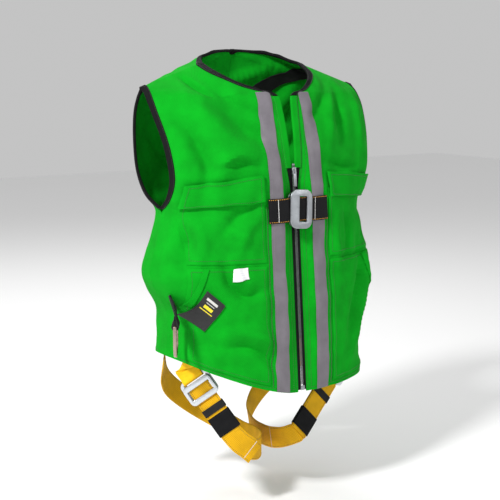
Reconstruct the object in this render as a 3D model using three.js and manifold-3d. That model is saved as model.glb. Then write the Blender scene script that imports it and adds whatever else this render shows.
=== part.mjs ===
// A safety harness vest: a hi-vis zip vest worn over a full-body fall-arrest harness.
// Units are millimetres. +Z is up, the wearer faces -Y, and the wearer's left hand is on +X.
// The origin is the middle of the shoulder line, halfway between the two shoulder tips.
import * as THREE from "three";
import { mergeVertices } from "three/addons/utils/BufferGeometryUtils.js";
import Module from "manifold-3d";

// ---------------------------------------------------------------- driving dimensions
const HALF_SHOULDER = 241; // shoulder tip to the centre line
const HALF_CHEST = 212; // side seam at the armhole's foot
const HALF_WAIST = 238; // side seam where the loose fabric stands out most
const HALF_HEM = 206; // side seam at the hem
const HEM_Z = -570; // front hem at the zip
const HEM_HITCH = 58; // how far the wearer's right side seam has ridden up
const SIDE_Y = -21; // side seams
const ARMHOLE_Z = -224; // foot of the armhole
const ZIP_TOP_Z = -146; // top stop of the zip
const ZIP_TOP_Y = -138;
const ZIP_FOOT_Y = -172;
const BACK_CHEST_Y = 90; // centre back at chest height
const BACK_SEAT_Y = 126; // centre back over the seat
const FABRIC = 2.4; // the lined, hemmed fabric's thickness
const LAY_GAP = 0.8; // clearance under whatever is sewn onto the fabric
const SEAM_GAP = 0.35; // clearance between two panels that are sewn edge to edge
const PLACKET_EDGE = 9.5; // fabric edge to the centre line beside the zip
const BIND_WIDTH = 12; // edge binding, measured across
const BIND_THICK = 4.4;
const TAPE_X = 46; // centre of the reflective tape
const TAPE_WIDTH = 28;
const TAPE_THICK = 0.9;
const POCKET_IN_X = 72; // inner edge of pockets and flaps
const POCKET_OUT_X = 206; // their outer edge ...
const POCKET_INSET = 8; // ... which stays this far from the side seam
const POCKET_THICK = 2.2;
const FLAP_THICK = 2.6;
const LABEL_THICK = 1;
const WEB_WIDTH = 45; // harness webbing
const WEB_THICK = 2.2;
const BELT_Z = -230; // centre of the chest strap
const SLIT_X = 66; // slits where the chest strap comes out
const PLATE = 3.2; // thickness of every buckle plate
const LINK_AHEAD = 11.4; // chest buckle: link's mid plane ahead of the zip
const PLATE_STEP = 7.2; // frame's mid plane ahead of its link's
const RING_WIDTH = 62; // D-ring: across the bow
const RING_HEIGHT = 58;
const RING_BAR = 7; // width of the ring's band
const RING_THICK = 6;
const EYE_BORE = 5.2; // radius of the webbing eye a ring turns in
const EYE_WALL = 2.4;
const TAB_WIDTH = 38; // webbing tab that carries a ring
const LINING_GAP = 1; // clearance between the fabric and the webbing inside it
const LEG_STEPS = 26;

// ---------------------------------------------------------------- small helpers
const V = (x, y, z) => new THREE.Vector3(x, y, z);
const UP = V(0, 0, 1);
const lerp = (a, b, t) => a + (b - a) * t;
const clamp01 = (t) => Math.min(1, Math.max(0, t));
const smooth = (t) => clamp01(t) ** 2 * (3 - 2 * clamp01(t));
const SIDES = { right: -1, left: 1 };

const wasm = await Module();
wasm.setup();

function toSolid(geometry) {
  const bare = geometry.index ? geometry.toNonIndexed() : geometry.clone();
  for (const name of Object.keys(bare.attributes)) {
    if (name !== "position") bare.deleteAttribute(name);
  }
  const merged = mergeVertices(bare, 1e-4);
  return new wasm.Manifold(
    new wasm.Mesh({
      numProp: 3,
      vertProperties: merged.attributes.position.array,
      triVerts: new Uint32Array(merged.index.array),
    }),
  );
}

function toGeometry(solid) {
  const mesh = solid.getMesh();
  return new THREE.BufferGeometry()
    .setAttribute("position", new THREE.BufferAttribute(new Float32Array(mesh.vertProperties), 3))
    .setIndex(new THREE.BufferAttribute(new Uint32Array(mesh.triVerts), 1));
}

const join = (...parts) => toGeometry(parts.map(toSolid).reduce((a, b) => a.add(b)));
const cut = (body, ...tools) => toGeometry(tools.map(toSolid).reduce((a, b) => a.subtract(b), toSolid(body)));

// A closed body between two grids of points that have the same rows and columns.
function slab(outer, inner) {
  const rows = outer.length;
  const columns = outer[0].length;
  const points = [...outer.flat(), ...inner.flat()];
  const at = (layer, i, j) => layer * rows * columns + i * columns + j;
  const faces = [];
  const quad = (a, b, c, d) => faces.push(a, b, c, a, c, d);
  for (let i = 0; i < rows - 1; i++) {
    for (let j = 0; j < columns - 1; j++) {
      quad(at(0, i, j), at(0, i, j + 1), at(0, i + 1, j + 1), at(0, i + 1, j));
      quad(at(1, i, j), at(1, i + 1, j), at(1, i + 1, j + 1), at(1, i, j + 1));
    }
    quad(at(0, i, 0), at(0, i + 1, 0), at(1, i + 1, 0), at(1, i, 0));
    quad(at(0, i, columns - 1), at(1, i, columns - 1), at(1, i + 1, columns - 1), at(0, i + 1, columns - 1));
  }
  for (let j = 0; j < columns - 1; j++) {
    quad(at(0, 0, j), at(1, 0, j), at(1, 0, j + 1), at(0, 0, j + 1));
    quad(at(0, rows - 1, j), at(0, rows - 1, j + 1), at(1, rows - 1, j + 1), at(1, rows - 1, j));
  }
  const geometry = new THREE.BufferGeometry();
  geometry.setAttribute("position", new THREE.Float32BufferAttribute(points.flatMap((p) => p.toArray()), 3));
  geometry.setIndex(faces);
  return facingOut(geometry);
}

// Turns every face round if the body is inside out.
function facingOut(geometry) {
  const position = geometry.attributes.position;
  const index = geometry.index.array;
  const corner = (k) => V().fromBufferAttribute(position, index[k]);
  let volume = 0;
  for (let k = 0; k < index.length; k += 3) {
    volume += corner(k).dot(corner(k + 1).cross(corner(k + 2)));
  }
  if (volume < 0) {
    for (let k = 0; k < index.length; k += 3) {
      [index[k + 1], index[k + 2]] = [index[k + 2], index[k + 1]];
    }
  }
  return geometry;
}

// Sweeps a closed section along stations {at, across, out}; section points are [across, out].
function sweep(stations, section, closed = false) {
  const ring = stations.map((s) =>
    section.map(([a, b]) => s.at.clone().addScaledVector(s.across, a).addScaledVector(s.out, b)),
  );
  const n = section.length;
  const faces = [];
  const last = closed ? ring.length : ring.length - 1;
  for (let i = 0; i < last; i++) {
    const next = (i + 1) % ring.length;
    for (let j = 0; j < n; j++) {
      const k = (j + 1) % n;
      faces.push(i * n + j, i * n + k, next * n + k, i * n + j, next * n + k, next * n + j);
    }
  }
  if (!closed) {
    const end = (ring.length - 1) * n;
    for (let j = 1; j < n - 1; j++) {
      faces.push(0, j + 1, j, end, end + j, end + j + 1);
    }
  }
  const geometry = new THREE.BufferGeometry();
  geometry.setAttribute("position", new THREE.Float32BufferAttribute(ring.flat().flatMap((p) => p.toArray()), 3));
  geometry.setIndex(faces);
  return facingOut(geometry);
}

const flatSection = (width, thick) => [
  [-width / 2, -thick / 2],
  [width / 2, -thick / 2],
  [width / 2, thick / 2],
  [-width / 2, thick / 2],
];

const ovalSection = (width, thick, sides = 8) =>
  Array.from({ length: sides }, (_, k) => {
    const a = (2 * Math.PI * (k + 0.5)) / sides;
    return [(width / 2) * Math.cos(a), (thick / 2) * Math.sin(a)];
  });
// ---------------------------------------------------------------- the vest's form
const zipY = (z) => lerp(ZIP_TOP_Y, ZIP_FOOT_Y, (ZIP_TOP_Z - z) / (ZIP_TOP_Z - HEM_Z));

// Levels from hem to shoulder seam. n: inner edge, a: side seam, higher up the armhole's edge.
// square: 0.8 is boxy, 1 an ellipse, 2 a straight line. puff: how far the front stands ahead of the zip.
const FRONT = [
  { n: [PLACKET_EDGE, zipY(HEM_Z), HEM_Z], a: [HALF_HEM, SIDE_Y, -562], square: 0.8, puff: 3 },
  { n: [PLACKET_EDGE, zipY(-510), -510], a: [HALF_HEM - 4, SIDE_Y, -505], square: 0.8, puff: 7 },
  { n: [PLACKET_EDGE, zipY(-450), -450], a: [HALF_HEM - 2, SIDE_Y, -446], square: 0.82, puff: 10 },
  { n: [PLACKET_EDGE, zipY(-395), -395], a: [HALF_WAIST - 12, SIDE_Y, -393], square: 0.85, puff: 10 },
  { n: [PLACKET_EDGE, zipY(-345), -345], a: [HALF_WAIST, SIDE_Y, -345], square: 0.88, puff: 9 },
  { n: [PLACKET_EDGE, zipY(-285), -285], a: [HALF_CHEST + 10, SIDE_Y, -287], square: 0.9, puff: 9 },
  { n: [PLACKET_EDGE, zipY(-228), -228], a: [HALF_CHEST, SIDE_Y, ARMHOLE_Z - 14], square: 0.92, puff: 11 },
  { n: [PLACKET_EDGE, zipY(-190), -190], a: [HALF_CHEST + 2, -58, -206], square: 1.05, puff: 12 },
  { n: [16.4, ZIP_TOP_Y, ZIP_TOP_Z], a: [HALF_CHEST + 6, -80, -166], square: 1.15, puff: 9 },
  { n: [19, -131, -102], a: [HALF_SHOULDER - 16, -72, -108], square: 1.25, puff: 6 },
  { n: [22, -119, -52], a: [HALF_SHOULDER - 8, -48, -54], square: 1.35, puff: 3 },
  { n: [28, -109, -22], a: [HALF_SHOULDER - 7, -31, -28], square: 1.45, puff: 0 },
  { n: [58, -96, -14], a: [HALF_SHOULDER - 8, -21, -17], square: 1.55, puff: 0 },
  { n: [92, -70, 2], a: [HALF_SHOULDER - 9, -13, -11], square: 1.7, puff: 0 },
  { n: [114, -38, 17], a: [HALF_SHOULDER - 10, -6, -7], square: 1.85, puff: 0 },
  { n: [120, 0, 32], a: [HALF_SHOULDER - 10, 0, -5], square: 2, puff: 0 },
];
const BACK = [
  { n: [0, BACK_SEAT_Y, -540], a: [HALF_HEM, SIDE_Y, -562], square: 0.85, puff: 0 },
  { n: [0, BACK_SEAT_Y + 2, -495], a: [HALF_HEM - 4, SIDE_Y, -505], square: 0.85, puff: 0 },
  { n: [0, BACK_SEAT_Y - 2, -446], a: [HALF_HEM - 2, SIDE_Y, -446], square: 0.85, puff: 0 },
  { n: [0, BACK_SEAT_Y - 11, -395], a: [HALF_WAIST - 12, SIDE_Y, -393], square: 0.84, puff: 0 },
  { n: [0, BACK_SEAT_Y - 20, -345], a: [HALF_WAIST, SIDE_Y, -345], square: 0.84, puff: 0 },
  { n: [0, BACK_CHEST_Y + 6, -285], a: [HALF_CHEST + 10, SIDE_Y, -287], square: 0.86, puff: 0 },
  { n: [0, BACK_CHEST_Y, -228], a: [HALF_CHEST, SIDE_Y, ARMHOLE_Z - 14], square: 0.9, puff: 0 },
  { n: [0, BACK_CHEST_Y + 3, -178], a: [HALF_CHEST + 4, 30, -206], square: 1.1, puff: 0 },
  { n: [0, BACK_CHEST_Y + 6, -128], a: [HALF_CHEST + 14, 44, -160], square: 1.2, puff: 0 },
  { n: [0, BACK_CHEST_Y + 5, -76], a: [HALF_SHOULDER - 9, 42, -100], square: 1.25, puff: 0 },
  { n: [0, BACK_CHEST_Y - 1, -24], a: [HALF_SHOULDER - 5, 31, -54], square: 1.3, puff: 0 },
  { n: [0, BACK_CHEST_Y - 12, 24], a: [HALF_SHOULDER - 6, 20, -27], square: 1.35, puff: 0 },
  { n: [0, BACK_CHEST_Y - 22, 55], a: [HALF_SHOULDER - 8, 13, -16], square: 1.45, puff: 0 },
  { n: [60, BACK_CHEST_Y - 32, 54], a: [HALF_SHOULDER - 9, 8, -10], square: 1.6, puff: 0 },
  { n: [98, 34, 44], a: [HALF_SHOULDER - 10, 3, -6], square: 1.8, puff: 0 },
  { n: [120, 0, 32], a: [HALF_SHOULDER - 10, 0, -5], square: 2, puff: 0 },
];
const TOP = FRONT.length - 1; // the shoulder seam's level
const SIDE_TOP = 6; // side seams end here and the armholes start
const V_FOOT = 7.8; // level where the zip ends and the V opens
const BACK_NECK = 12; // level where the back's neckline starts

// A level between the listed ones, by Catmull-Rom.
function levelAt(levels, v) {
  const k = Math.min(Math.max(v, 0), levels.length - 1);
  const i = Math.min(Math.floor(k), levels.length - 2);
  const t = k - i;
  const [a, b, c, d] = [i - 1, i, i + 1, i + 2].map((m) => levels[Math.min(Math.max(m, 0), levels.length - 1)]);
  const blend = (p, q, r, s) =>
    0.5 * (2 * q + (r - p) * t + (2 * p - 5 * q + 4 * r - s) * t * t + (3 * q - p - 3 * r + s) * t ** 3);
  const edge = b.a.map((_, m) => blend(a.a[m], b.a[m], c.a[m], d.a[m]));
  if (v <= SIDE_TOP) edge[1] = SIDE_Y;
  const inner = b.n.map((_, m) => blend(a.n[m], b.n[m], c.n[m], d.n[m]));
  inner[0] = Math.max(inner[0], 0);
  return {
    n: inner,
    a: edge,
    square: blend(a.square, b.square, c.square, d.square),
    puff: blend(a.puff, b.puff, c.puff, d.puff),
  };
}

// A point of the vest's outer face at level v, x millimetres from the centre plane.
function vestPoint(levels, side, x, v) {
  const s = levelAt(levels, v);
  const share = clamp01((x - s.n[0]) / (s.a[0] - s.n[0]));
  const hitch = side < 0 ? HEM_HITCH * clamp01((345 + s.a[2]) / (345 - 562)) : 0;
  const ahead = s.puff * (1 - smooth((x - s.n[0]) / 26));
  const bow = (1 - share ** (2 / s.square)) ** (s.square / 2);
  const y = s.a[1] + (s.n[1] - s.puff - s.a[1]) * bow + ahead;
  const rise = lerp(share ** 1.5, share, clamp01((v - 5) / 3));
  return V(side * x, y, lerp(s.n[2], s.a[2] + hitch, rise));
}

// Columns of a panel at level v: tape edges and pocket edges keep their own x where they fit.
function panelColumns(levels, v, fixed) {
  const s = levelAt(levels, v);
  const inner = s.n[0];
  const outer = s.a[0];
  const xs = [inner];
  for (const x of fixed) {
    xs.push(Math.max(x, xs[xs.length - 1] + 4));
  }
  const from = xs[xs.length - 1];
  const pocketOut = Math.min(POCKET_OUT_X, outer - POCKET_INSET);
  for (const t of [0.25, 0.5, 0.72, 0.88, 1]) {
    xs.push(lerp(from, pocketOut, t));
  }
  for (const t of [0.4, 0.75, 1]) {
    xs.push(lerp(pocketOut, outer, t));
  }
  return xs;
}

const TAPE_IN = TAPE_X - TAPE_WIDTH / 2;
const TAPE_OUT = TAPE_X + TAPE_WIDTH / 2;
const FRONT_COLUMNS = [TAPE_IN, TAPE_OUT, POCKET_IN_X];
const BACK_COLUMNS = [TAPE_IN, TAPE_OUT];
const SHOULDER_ROWS = [9.4, 10, 10.7, 11.3, 12, 13, 14, 15];
const FRONT_ROWS = [0, 0.5, 1, 1.6, 2.2, 2.8, 3.4, 4, 4.4, 5, 5.6, 6, 6.5, 7, 7.7, 8.2, 8.9, ...SHOULDER_ROWS];
const BACK_ROWS = [0, 0.7, 1.4, 2, 2.8, 3.5, 4, 4.6, 5.3, 6, 6.7, 7.4, 8, 8.7, ...SHOULDER_ROWS];

// Grid of {p, n} over one half of the front or back. Seam edges face each other squarely.
function panelGrid(levels, side, rows, fixed) {
  const shift = levels === FRONT ? -SEAM_GAP / 2 : SEAM_GAP / 2;
  const points = rows.map((v) => panelColumns(levels, v, fixed).map((x) => vestPoint(levels, side, x, v)));
  const outward = side * (levels === FRONT ? 1 : -1);
  return points.map((row, i) =>
    row.map((p, j) => {
      const along = row[Math.min(j + 1, row.length - 1)].clone().sub(row[Math.max(j - 1, 0)]);
      const above = points[Math.min(i + 1, points.length - 1)][j];
      const up = above.clone().sub(points[Math.max(i - 1, 0)][j]);
      const n = along.cross(up).multiplyScalar(outward).normalize();
      const onSeam = i === points.length - 1 || (j === row.length - 1 && rows[i] <= SIDE_TOP);
      if (onSeam) n.setY(0).normalize();
      if (levels === BACK && j === 0 && rows[i] <= BACK_NECK) n.setX(0).normalize();
      return { p: p.clone().add(V(0, shift, 0)), n };
    }),
  );
}

const grids = {
  front: {
    right: panelGrid(FRONT, -1, FRONT_ROWS, FRONT_COLUMNS),
    left: panelGrid(FRONT, 1, FRONT_ROWS, FRONT_COLUMNS),
  },
  back: {
    right: panelGrid(BACK, -1, BACK_ROWS, BACK_COLUMNS),
    left: panelGrid(BACK, 1, BACK_ROWS, BACK_COLUMNS),
  },
};

// Where level v falls among a grid's rows, as a fractional index.
function rowIndex(rows, v) {
  const i = Math.min(rows.findLastIndex((r) => r <= v + 1e-9), rows.length - 2);
  return i + (v - rows[i]) / (rows[i + 1] - rows[i]);
}

// Face point and normal at fractional row r and fractional column c.
function onGrid(grid, r, c) {
  const i = Math.min(Math.floor(r), grid.length - 2);
  const j = Math.min(Math.floor(c), grid[0].length - 2);
  const mix = (key) => {
    const low = grid[i][j][key].clone().lerp(grid[i][j + 1][key], c - j);
    return low.lerp(grid[i + 1][j][key].clone().lerp(grid[i + 1][j + 1][key], c - j), r - i);
  };
  return { p: mix("p"), n: mix("n").normalize() };
}

// The fractional column where row r is x millimetres from the centre plane.
function columnAt(grid, r, x) {
  let [low, high] = [0, grid[0].length - 1];
  for (let k = 0; k < 30; k++) {
    const middle = (low + high) / 2;
    if (Math.abs(onGrid(grid, r, middle).p.x) < x) low = middle;
    else high = middle;
  }
  return (low + high) / 2;
}

// Face point and normal at a given distance x from the centre plane and height z.
function atPlace(grid, x, z) {
  let [low, high] = [0, grid.length - 1];
  for (let k = 0; k < 30; k++) {
    const middle = (low + high) / 2;
    if (onGrid(grid, middle, columnAt(grid, middle, x)).p.z < z) low = middle;
    else high = middle;
  }
  return onGrid(grid, low, columnAt(grid, low, x));
}

const raised = (place, lift) => place.p.clone().addScaledVector(place.n, lift);

// A layer of the given thickness over a grid of places, lifted off the face by lift.
const layer = (places, lift, thick) =>
  slab(
    places.map((row) => row.map((q) => raised(q, lift + thick))),
    places.map((row) => row.map((q) => raised(q, lift))),
  );

// Rows from one level to another, with every row of the panel between them.
function rowsBetween(rows, from, to) {
  const inside = rows.map((v, i) => [v, i]).filter(([v]) => v > from + 1e-6 && v < to - 1e-6);
  return [rowIndex(rows, from), ...inside.map(([, i]) => i), rowIndex(rows, to)];
}

// ---------------------------------------------------------------- materials
const finish = (color, roughness, metalness = 0) => new THREE.MeshStandardMaterial({ color, roughness, metalness });
const looks = {
  mesh: finish(0x0ea52a, 0.85),
  binding: finish(0x17171a, 0.8),
  tape: finish(0x8b8b90, 0.45),
  black: finish(0x1b1b1e, 0.75),
  zip: finish(0x111113, 0.6),
  yellow: finish(0xe8a90c, 0.7),
  steel: finish(0xb4b9bd, 0.35, 1),
  bright: finish(0xdcdfe2, 0.3, 1),
  label: finish(0x0d0d0e, 0.6),
  tag: finish(0xe9e9ea, 0.7),
};

const vest = new THREE.Group();
vest.name = "safety_harness_vest";
function add(name, geometry, look) {
  const mesh = new THREE.Mesh(geometry, looks[look]);
  mesh.name = name;
  vest.add(mesh);
}

// ---------------------------------------------------------------- fabric panels and what is sewn on
for (const [name, side] of Object.entries(SIDES)) {
  const front = grids.front[name];
  const back = grids.back[name];
  add(`vest_front_${name}`, layer(front, -FABRIC, FABRIC), "mesh");

  const tapeRows = rowsBetween(FRONT_ROWS, 0, 11.4);
  const tape = tapeRows.map((r) => [1, 2].map((c) => onGrid(front, r, c)));
  add(`reflective_tape_front_${name}`, layer(tape, LAY_GAP, TAPE_THICK), "tape");

  const backTapeRows = rowsBetween(BACK_ROWS, 0, 12);
  const backTape = backTapeRows.map((r) => [1, 2].map((c) => onGrid(back, r, c)));
  add(`reflective_tape_back_${name}`, layer(backTape, LAY_GAP, TAPE_THICK), "tape");

  const pocketPlaces = (from, to) =>
    rowsBetween(FRONT_ROWS, from, to).map((r) => [3, 4, 5, 6, 7, 8].map((c) => onGrid(front, r, c)));
  add(`chest_pocket_${name}`, layer(pocketPlaces(4.4, 7), LAY_GAP, POCKET_THICK), "mesh");
  add(`lower_pocket_${name}`, layer(pocketPlaces(0.25, 4.3), LAY_GAP, POCKET_THICK), "mesh");
  const flapLift = 2 * LAY_GAP + POCKET_THICK;
  add(`pocket_flap_${name}`, layer(pocketPlaces(6.5, 7.7), flapLift, FLAP_THICK), "mesh");
}

// The back is one piece: its right half and left half share the centre column up to the neck.
add("vest_back", cutNeck(), "mesh");

// Above the neckline's lowest level the two halves part, so the edges are found from the faces.
function cutNeck() {
  const ids = new Map();
  const outer = [];
  const inner = [];
  const id = (q) => {
    const key = q.p.toArray().map((c) => c.toFixed(3)).join();
    if (!ids.has(key)) {
      ids.set(key, outer.length);
      outer.push(q.p);
      inner.push(raised(q, -FABRIC));
    }
    return ids.get(key);
  };
  const faces = [];
  for (const name of ["left", "right"]) {
    const grid = grids.back[name];
    for (let i = 0; i < grid.length - 1; i++) {
      for (let j = 0; j < grid[0].length - 1; j++) {
        const [a, b, c, d] = [grid[i][j], grid[i][j + 1], grid[i + 1][j + 1], grid[i + 1][j]].map(id);
        faces.push(...(name === "left" ? [[a, b, c], [a, c, d]] : [[c, b, a], [d, c, a]]));
      }
    }
  }
  const edges = new Set(faces.flatMap(([a, b, c]) => [`${a},${b}`, `${b},${c}`, `${c},${a}`]));
  const n = outer.length;
  const index = faces.flatMap(([a, b, c]) => [a, b, c, n + a, n + c, n + b]);
  for (const edge of edges) {
    const [a, b] = edge.split(",").map(Number);
    if (!edges.has(`${b},${a}`)) index.push(b, a, n + a, b, n + a, n + b);
  }
  const geometry = new THREE.BufferGeometry();
  const points = [...outer, ...inner].flatMap((p) => p.toArray());
  geometry.setAttribute("position", new THREE.Float32BufferAttribute(points, 3));
  geometry.setIndex(index);
  return facingOut(geometry);
}

// ---------------------------------------------------------------- edge bindings
// Stations just outside an edge of the grid, given as [place on the edge, place further in].
function bindingStations(pairs) {
  const off = SEAM_GAP + BIND_WIDTH / 2;
  return pairs.map(([edge, inner]) => {
    const away = edge.p.clone().sub(inner.p);
    away.addScaledVector(edge.n, -away.dot(edge.n)).normalize();
    const at = edge.p.clone().addScaledVector(away, off).addScaledVector(edge.n, -FABRIC / 2);
    return { at, across: away, out: edge.n };
  });
}

const innerEdge = (grid, rows) => rows.map((r) => [onGrid(grid, r, 0), onGrid(grid, r, 1)]);
const outerEdge = (grid, rows) => {
  const last = grid[0].length - 1;
  return rows.map((r) => [onGrid(grid, r, last), onGrid(grid, r, last - 1)]);
};
const bindSection = ovalSection(BIND_WIDTH, BIND_THICK);

const vRows = rowsBetween(FRONT_ROWS, V_FOOT, TOP);
const backNeckRows = rowsBetween(BACK_ROWS, BACK_NECK, TOP);
const neckHalf = (name) => [
  ...innerEdge(grids.front[name], vRows),
  ...innerEdge(grids.back[name], backNeckRows.slice(0, -1).reverse()),
];
const neckStations = [
  ...bindingStations(neckHalf("right")),
  ...bindingStations(neckHalf("left")).reverse(),
];
add("neck_binding", sweep(neckStations, bindSection), "binding");

for (const name of Object.keys(SIDES)) {
  const frontRows = rowsBetween(FRONT_ROWS, SIDE_TOP, TOP);
  const backRows = rowsBetween(BACK_ROWS, SIDE_TOP, TOP);
  const ring = [
    ...outerEdge(grids.front[name], frontRows.slice(1)),
    ...outerEdge(grids.back[name], backRows.slice(1, -1).reverse()),
  ];
  const stations = bindingStations(ring);
  const foot = grids.front[name][FRONT_ROWS.indexOf(SIDE_TOP)].at(-1);
  const bottom = foot.p.clone().add(V(0, 0, SEAM_GAP + BIND_WIDTH / 2)).addScaledVector(foot.n, -FABRIC / 2);
  stations.push({ at: bottom, across: UP.clone(), out: foot.n.clone() });
  add(`armhole_binding_${name}`, sweep(stations, bindSection, true), "binding");
}

// ---------------------------------------------------------------- zip
// Everything on the zip is laid out along its own straight line.
const zipDown = V(0, ZIP_FOOT_Y - ZIP_TOP_Y, HEM_Z - ZIP_TOP_Z).normalize();
const zipOut = V(1, 0, 0).cross(zipDown).negate().normalize();
const zipPoint = (down, ahead, x = 0) =>
  V(x, ZIP_TOP_Y, ZIP_TOP_Z).addScaledVector(zipDown, down).addScaledVector(zipOut, ahead);
const ZIP_LENGTH = (ZIP_TOP_Z - HEM_Z) / -zipDown.z;

// A box on the zip: from x0 to x1, over the given lengths down the zip and heights ahead of it.
function zipBox(x0, x1, down0, down1, ahead0, ahead1) {
  const corner = (down, ahead, x) => zipPoint(down, ahead, x);
  const face = (ahead) => [
    [corner(down0, ahead, x0), corner(down0, ahead, x1)],
    [corner(down1, ahead, x0), corner(down1, ahead, x1)],
  ];
  return slab(face(ahead1), face(ahead0));
}

for (const [name, side] of Object.entries(SIDES)) {
  const edge = rowsBetween(FRONT_ROWS, 0.1, V_FOOT);
  const strip = edge.map((r) => {
    const q = onGrid(grids.front[name], r, 0);
    return [2.9, Math.abs(q.p.x) - SEAM_GAP].map((x) => V(side * x, q.p.y, q.p.z));
  });
  const shifted = (ahead) => strip.map((row) => row.map((p) => p.clone().addScaledVector(zipOut, ahead)));
  add(`zipper_tape_${name}`, slab(shifted(-0.2), shifted(-1.6)), "zip");
  const chain = [0.25 * side, 2.6 * side].sort((a, b) => a - b);
  add(`zipper_chain_${name}`, zipBox(...chain, 5, ZIP_LENGTH - 12, -1.6, 1.2), "zip");
  const stop = [0.25 * side, 2.6 * side].sort((a, b) => a - b);
  add(`zipper_stop_${name}`, zipBox(...stop, 1.2, 4.6, -1.6, 1.4), "steel");
}
add("zipper_box", zipBox(-4.4, 4.4, ZIP_LENGTH - 11.6, ZIP_LENGTH - 3, 0.15, 2), "steel");

const SLIDER_TOP = 8; // how far the closed slider sits below the V's foot
const bridge = join(
  zipBox(-4.6, 4.6, SLIDER_TOP, SLIDER_TOP + 12, 1.55, 3.1),
  zipBox(-0.9, 0.9, SLIDER_TOP + 1.6, SLIDER_TOP + 3, 3, 6.4),
  zipBox(-0.9, 0.9, SLIDER_TOP + 8.2, SLIDER_TOP + 9.6, 3, 6.4),
  zipBox(-0.9, 0.9, SLIDER_TOP + 1.6, SLIDER_TOP + 9.6, 5.5, 6.5),
);
add("zipper_slider", bridge, "steel");
const PULL_TOP = SLIDER_TOP + 5.2;
const pull = cut(
  zipBox(-3.4, 3.4, PULL_TOP, PULL_TOP + 30, 3.6, 4.8),
  zipBox(-1.4, 1.4, PULL_TOP + 1.4, PULL_TOP + 6.2, 3, 6),
);
add("zipper_pull", pull, "steel");

// ---------------------------------------------------------------- chest strap and its buckle
const beltDown = (ZIP_TOP_Z - BELT_Z) / -zipDown.z;
const beltPoint = (x, down, ahead) => zipPoint(beltDown + down, ahead, x);

// A flat plate in the belt's own axes, centred at (x, down), with slots [x, down, width, height].
function beltPlate(width, height, corner, slots, x, ahead, lean) {
  const shape = roundedRect(width, height, corner);
  for (const [sx, sd, sw, sh] of slots) {
    shape.holes.push(rect(sw, sh, sx, -sd));
  }
  const plate = new THREE.ExtrudeGeometry(shape, { depth: PLATE, bevelEnabled: false, curveSegments: 3 });
  plate.translate(0, 0, -PLATE / 2);
  plate.rotateZ(lean);
  const basis = new THREE.Matrix4().makeBasis(V(1, 0, 0), zipDown.clone().negate(), zipOut);
  basis.setPosition(beltPoint(x, 0, ahead));
  return plate.applyMatrix4(basis);
}

function roundedRect(width, height, corner) {
  const [x, y] = [width / 2 - corner, height / 2 - corner];
  const shape = new THREE.Shape();
  const corners = [[x, -y], [x, y], [-x, y], [-x, -y]];
  corners.forEach(([cx, cy], k) => shape.absarc(cx, cy, corner, ((k - 1) * Math.PI) / 2, (k * Math.PI) / 2));
  return shape.closePath();
}

// A plain rectangular slot centred at (cx, cy).
function rect(width, height, cx, cy) {
  const [w, h] = [width / 2, height / 2];
  const corners = [[-w, -h], [-w, h], [w, h], [w, -h]];
  return new THREE.Path(corners.map(([x, y]) => new THREE.Vector2(cx + x, cy + y)));
}

const FRAME_AHEAD = LINK_AHEAD + PLATE_STEP;
const LEAN = -0.07;
const EYE_X = -17; // centre of the link's bar that the right strap is sewn round
add("chest_buckle_link", beltPlate(46, 62, 9, [[-7.5, 0, 9, 46], [8, 0, 12, 47]], 0.5, LINK_AHEAD, 0), "steel");
add("chest_buckle_frame", beltPlate(49, 72, 15, [[4, 0, 17, 47]], 1, FRAME_AHEAD, LEAN), "steel");

// Strap stations from the slit in the fabric to the buckle, all in the belt's plane of symmetry.
function beltStations(name, inner) {
  const side = SIDES[name];
  const face = (x) => atPlace(grids.front[name], x, BELT_Z).p.clone().setX(side * x);
  const over = LAY_GAP * 2 + TAPE_THICK + WEB_THICK / 2;
  const knots = [SLIT_X, 58, 46, 36].map((x, i) => face(x).addScaledVector(zipOut, i ? over + 0.6 : over));
  const ends = inner.map(([x, ahead]) => beltPoint(side * x, 0, ahead));
  const line = new THREE.CatmullRomCurve3([...knots, ...ends], false, "centripetal");
  return Array.from({ length: 11 }, (_, i) => {
    const along = line.getTangent(i / 10);
    return { at: line.getPoint(i / 10), across: zipDown.clone(), out: along.clone().cross(zipDown).normalize() };
  });
}
const webSection = flatSection(WEB_WIDTH, WEB_THICK);
const leftBelt = [[26, 15], [12, 15], [-6, 15]];
add("chest_strap_left", sweep(beltStations("left", leftBelt), webSection), "black");
const rightBelt = [[27, 15.6], [24, 15.6], [-EYE_X + 5.4, LINK_AHEAD + 3.4]];
add("chest_strap_right", sweep(beltStations("right", rightBelt), webSection), "black");

// ---------------------------------------------------------------- rings and the tabs that carry them
// A D-ring in its own axes: bar along X at the origin, bow hanging down -Z, flat faces on +Y and -Y.
function ringPlate() {
  const [w, h] = [RING_WIDTH / 2, RING_HEIGHT];
  const outline = (inset, path) => {
    const [x, top, foot] = [w - inset, RING_BAR / 2 - inset, h - w];
    path.moveTo(-x, top);
    path.lineTo(-x, -foot);
    path.absarc(0, -foot, x, Math.PI, 2 * Math.PI);
    path.lineTo(x, top);
    path.closePath();
    return path;
  };
  const shape = outline(0, new THREE.Shape());
  shape.holes.push(outline(RING_BAR, new THREE.Path()));
  const ring = new THREE.ExtrudeGeometry(shape, { depth: RING_THICK, bevelEnabled: false, curveSegments: 12 });
  ring.translate(0, 0, -RING_THICK / 2);
  return ring.rotateX(Math.PI / 2);
}

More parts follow.
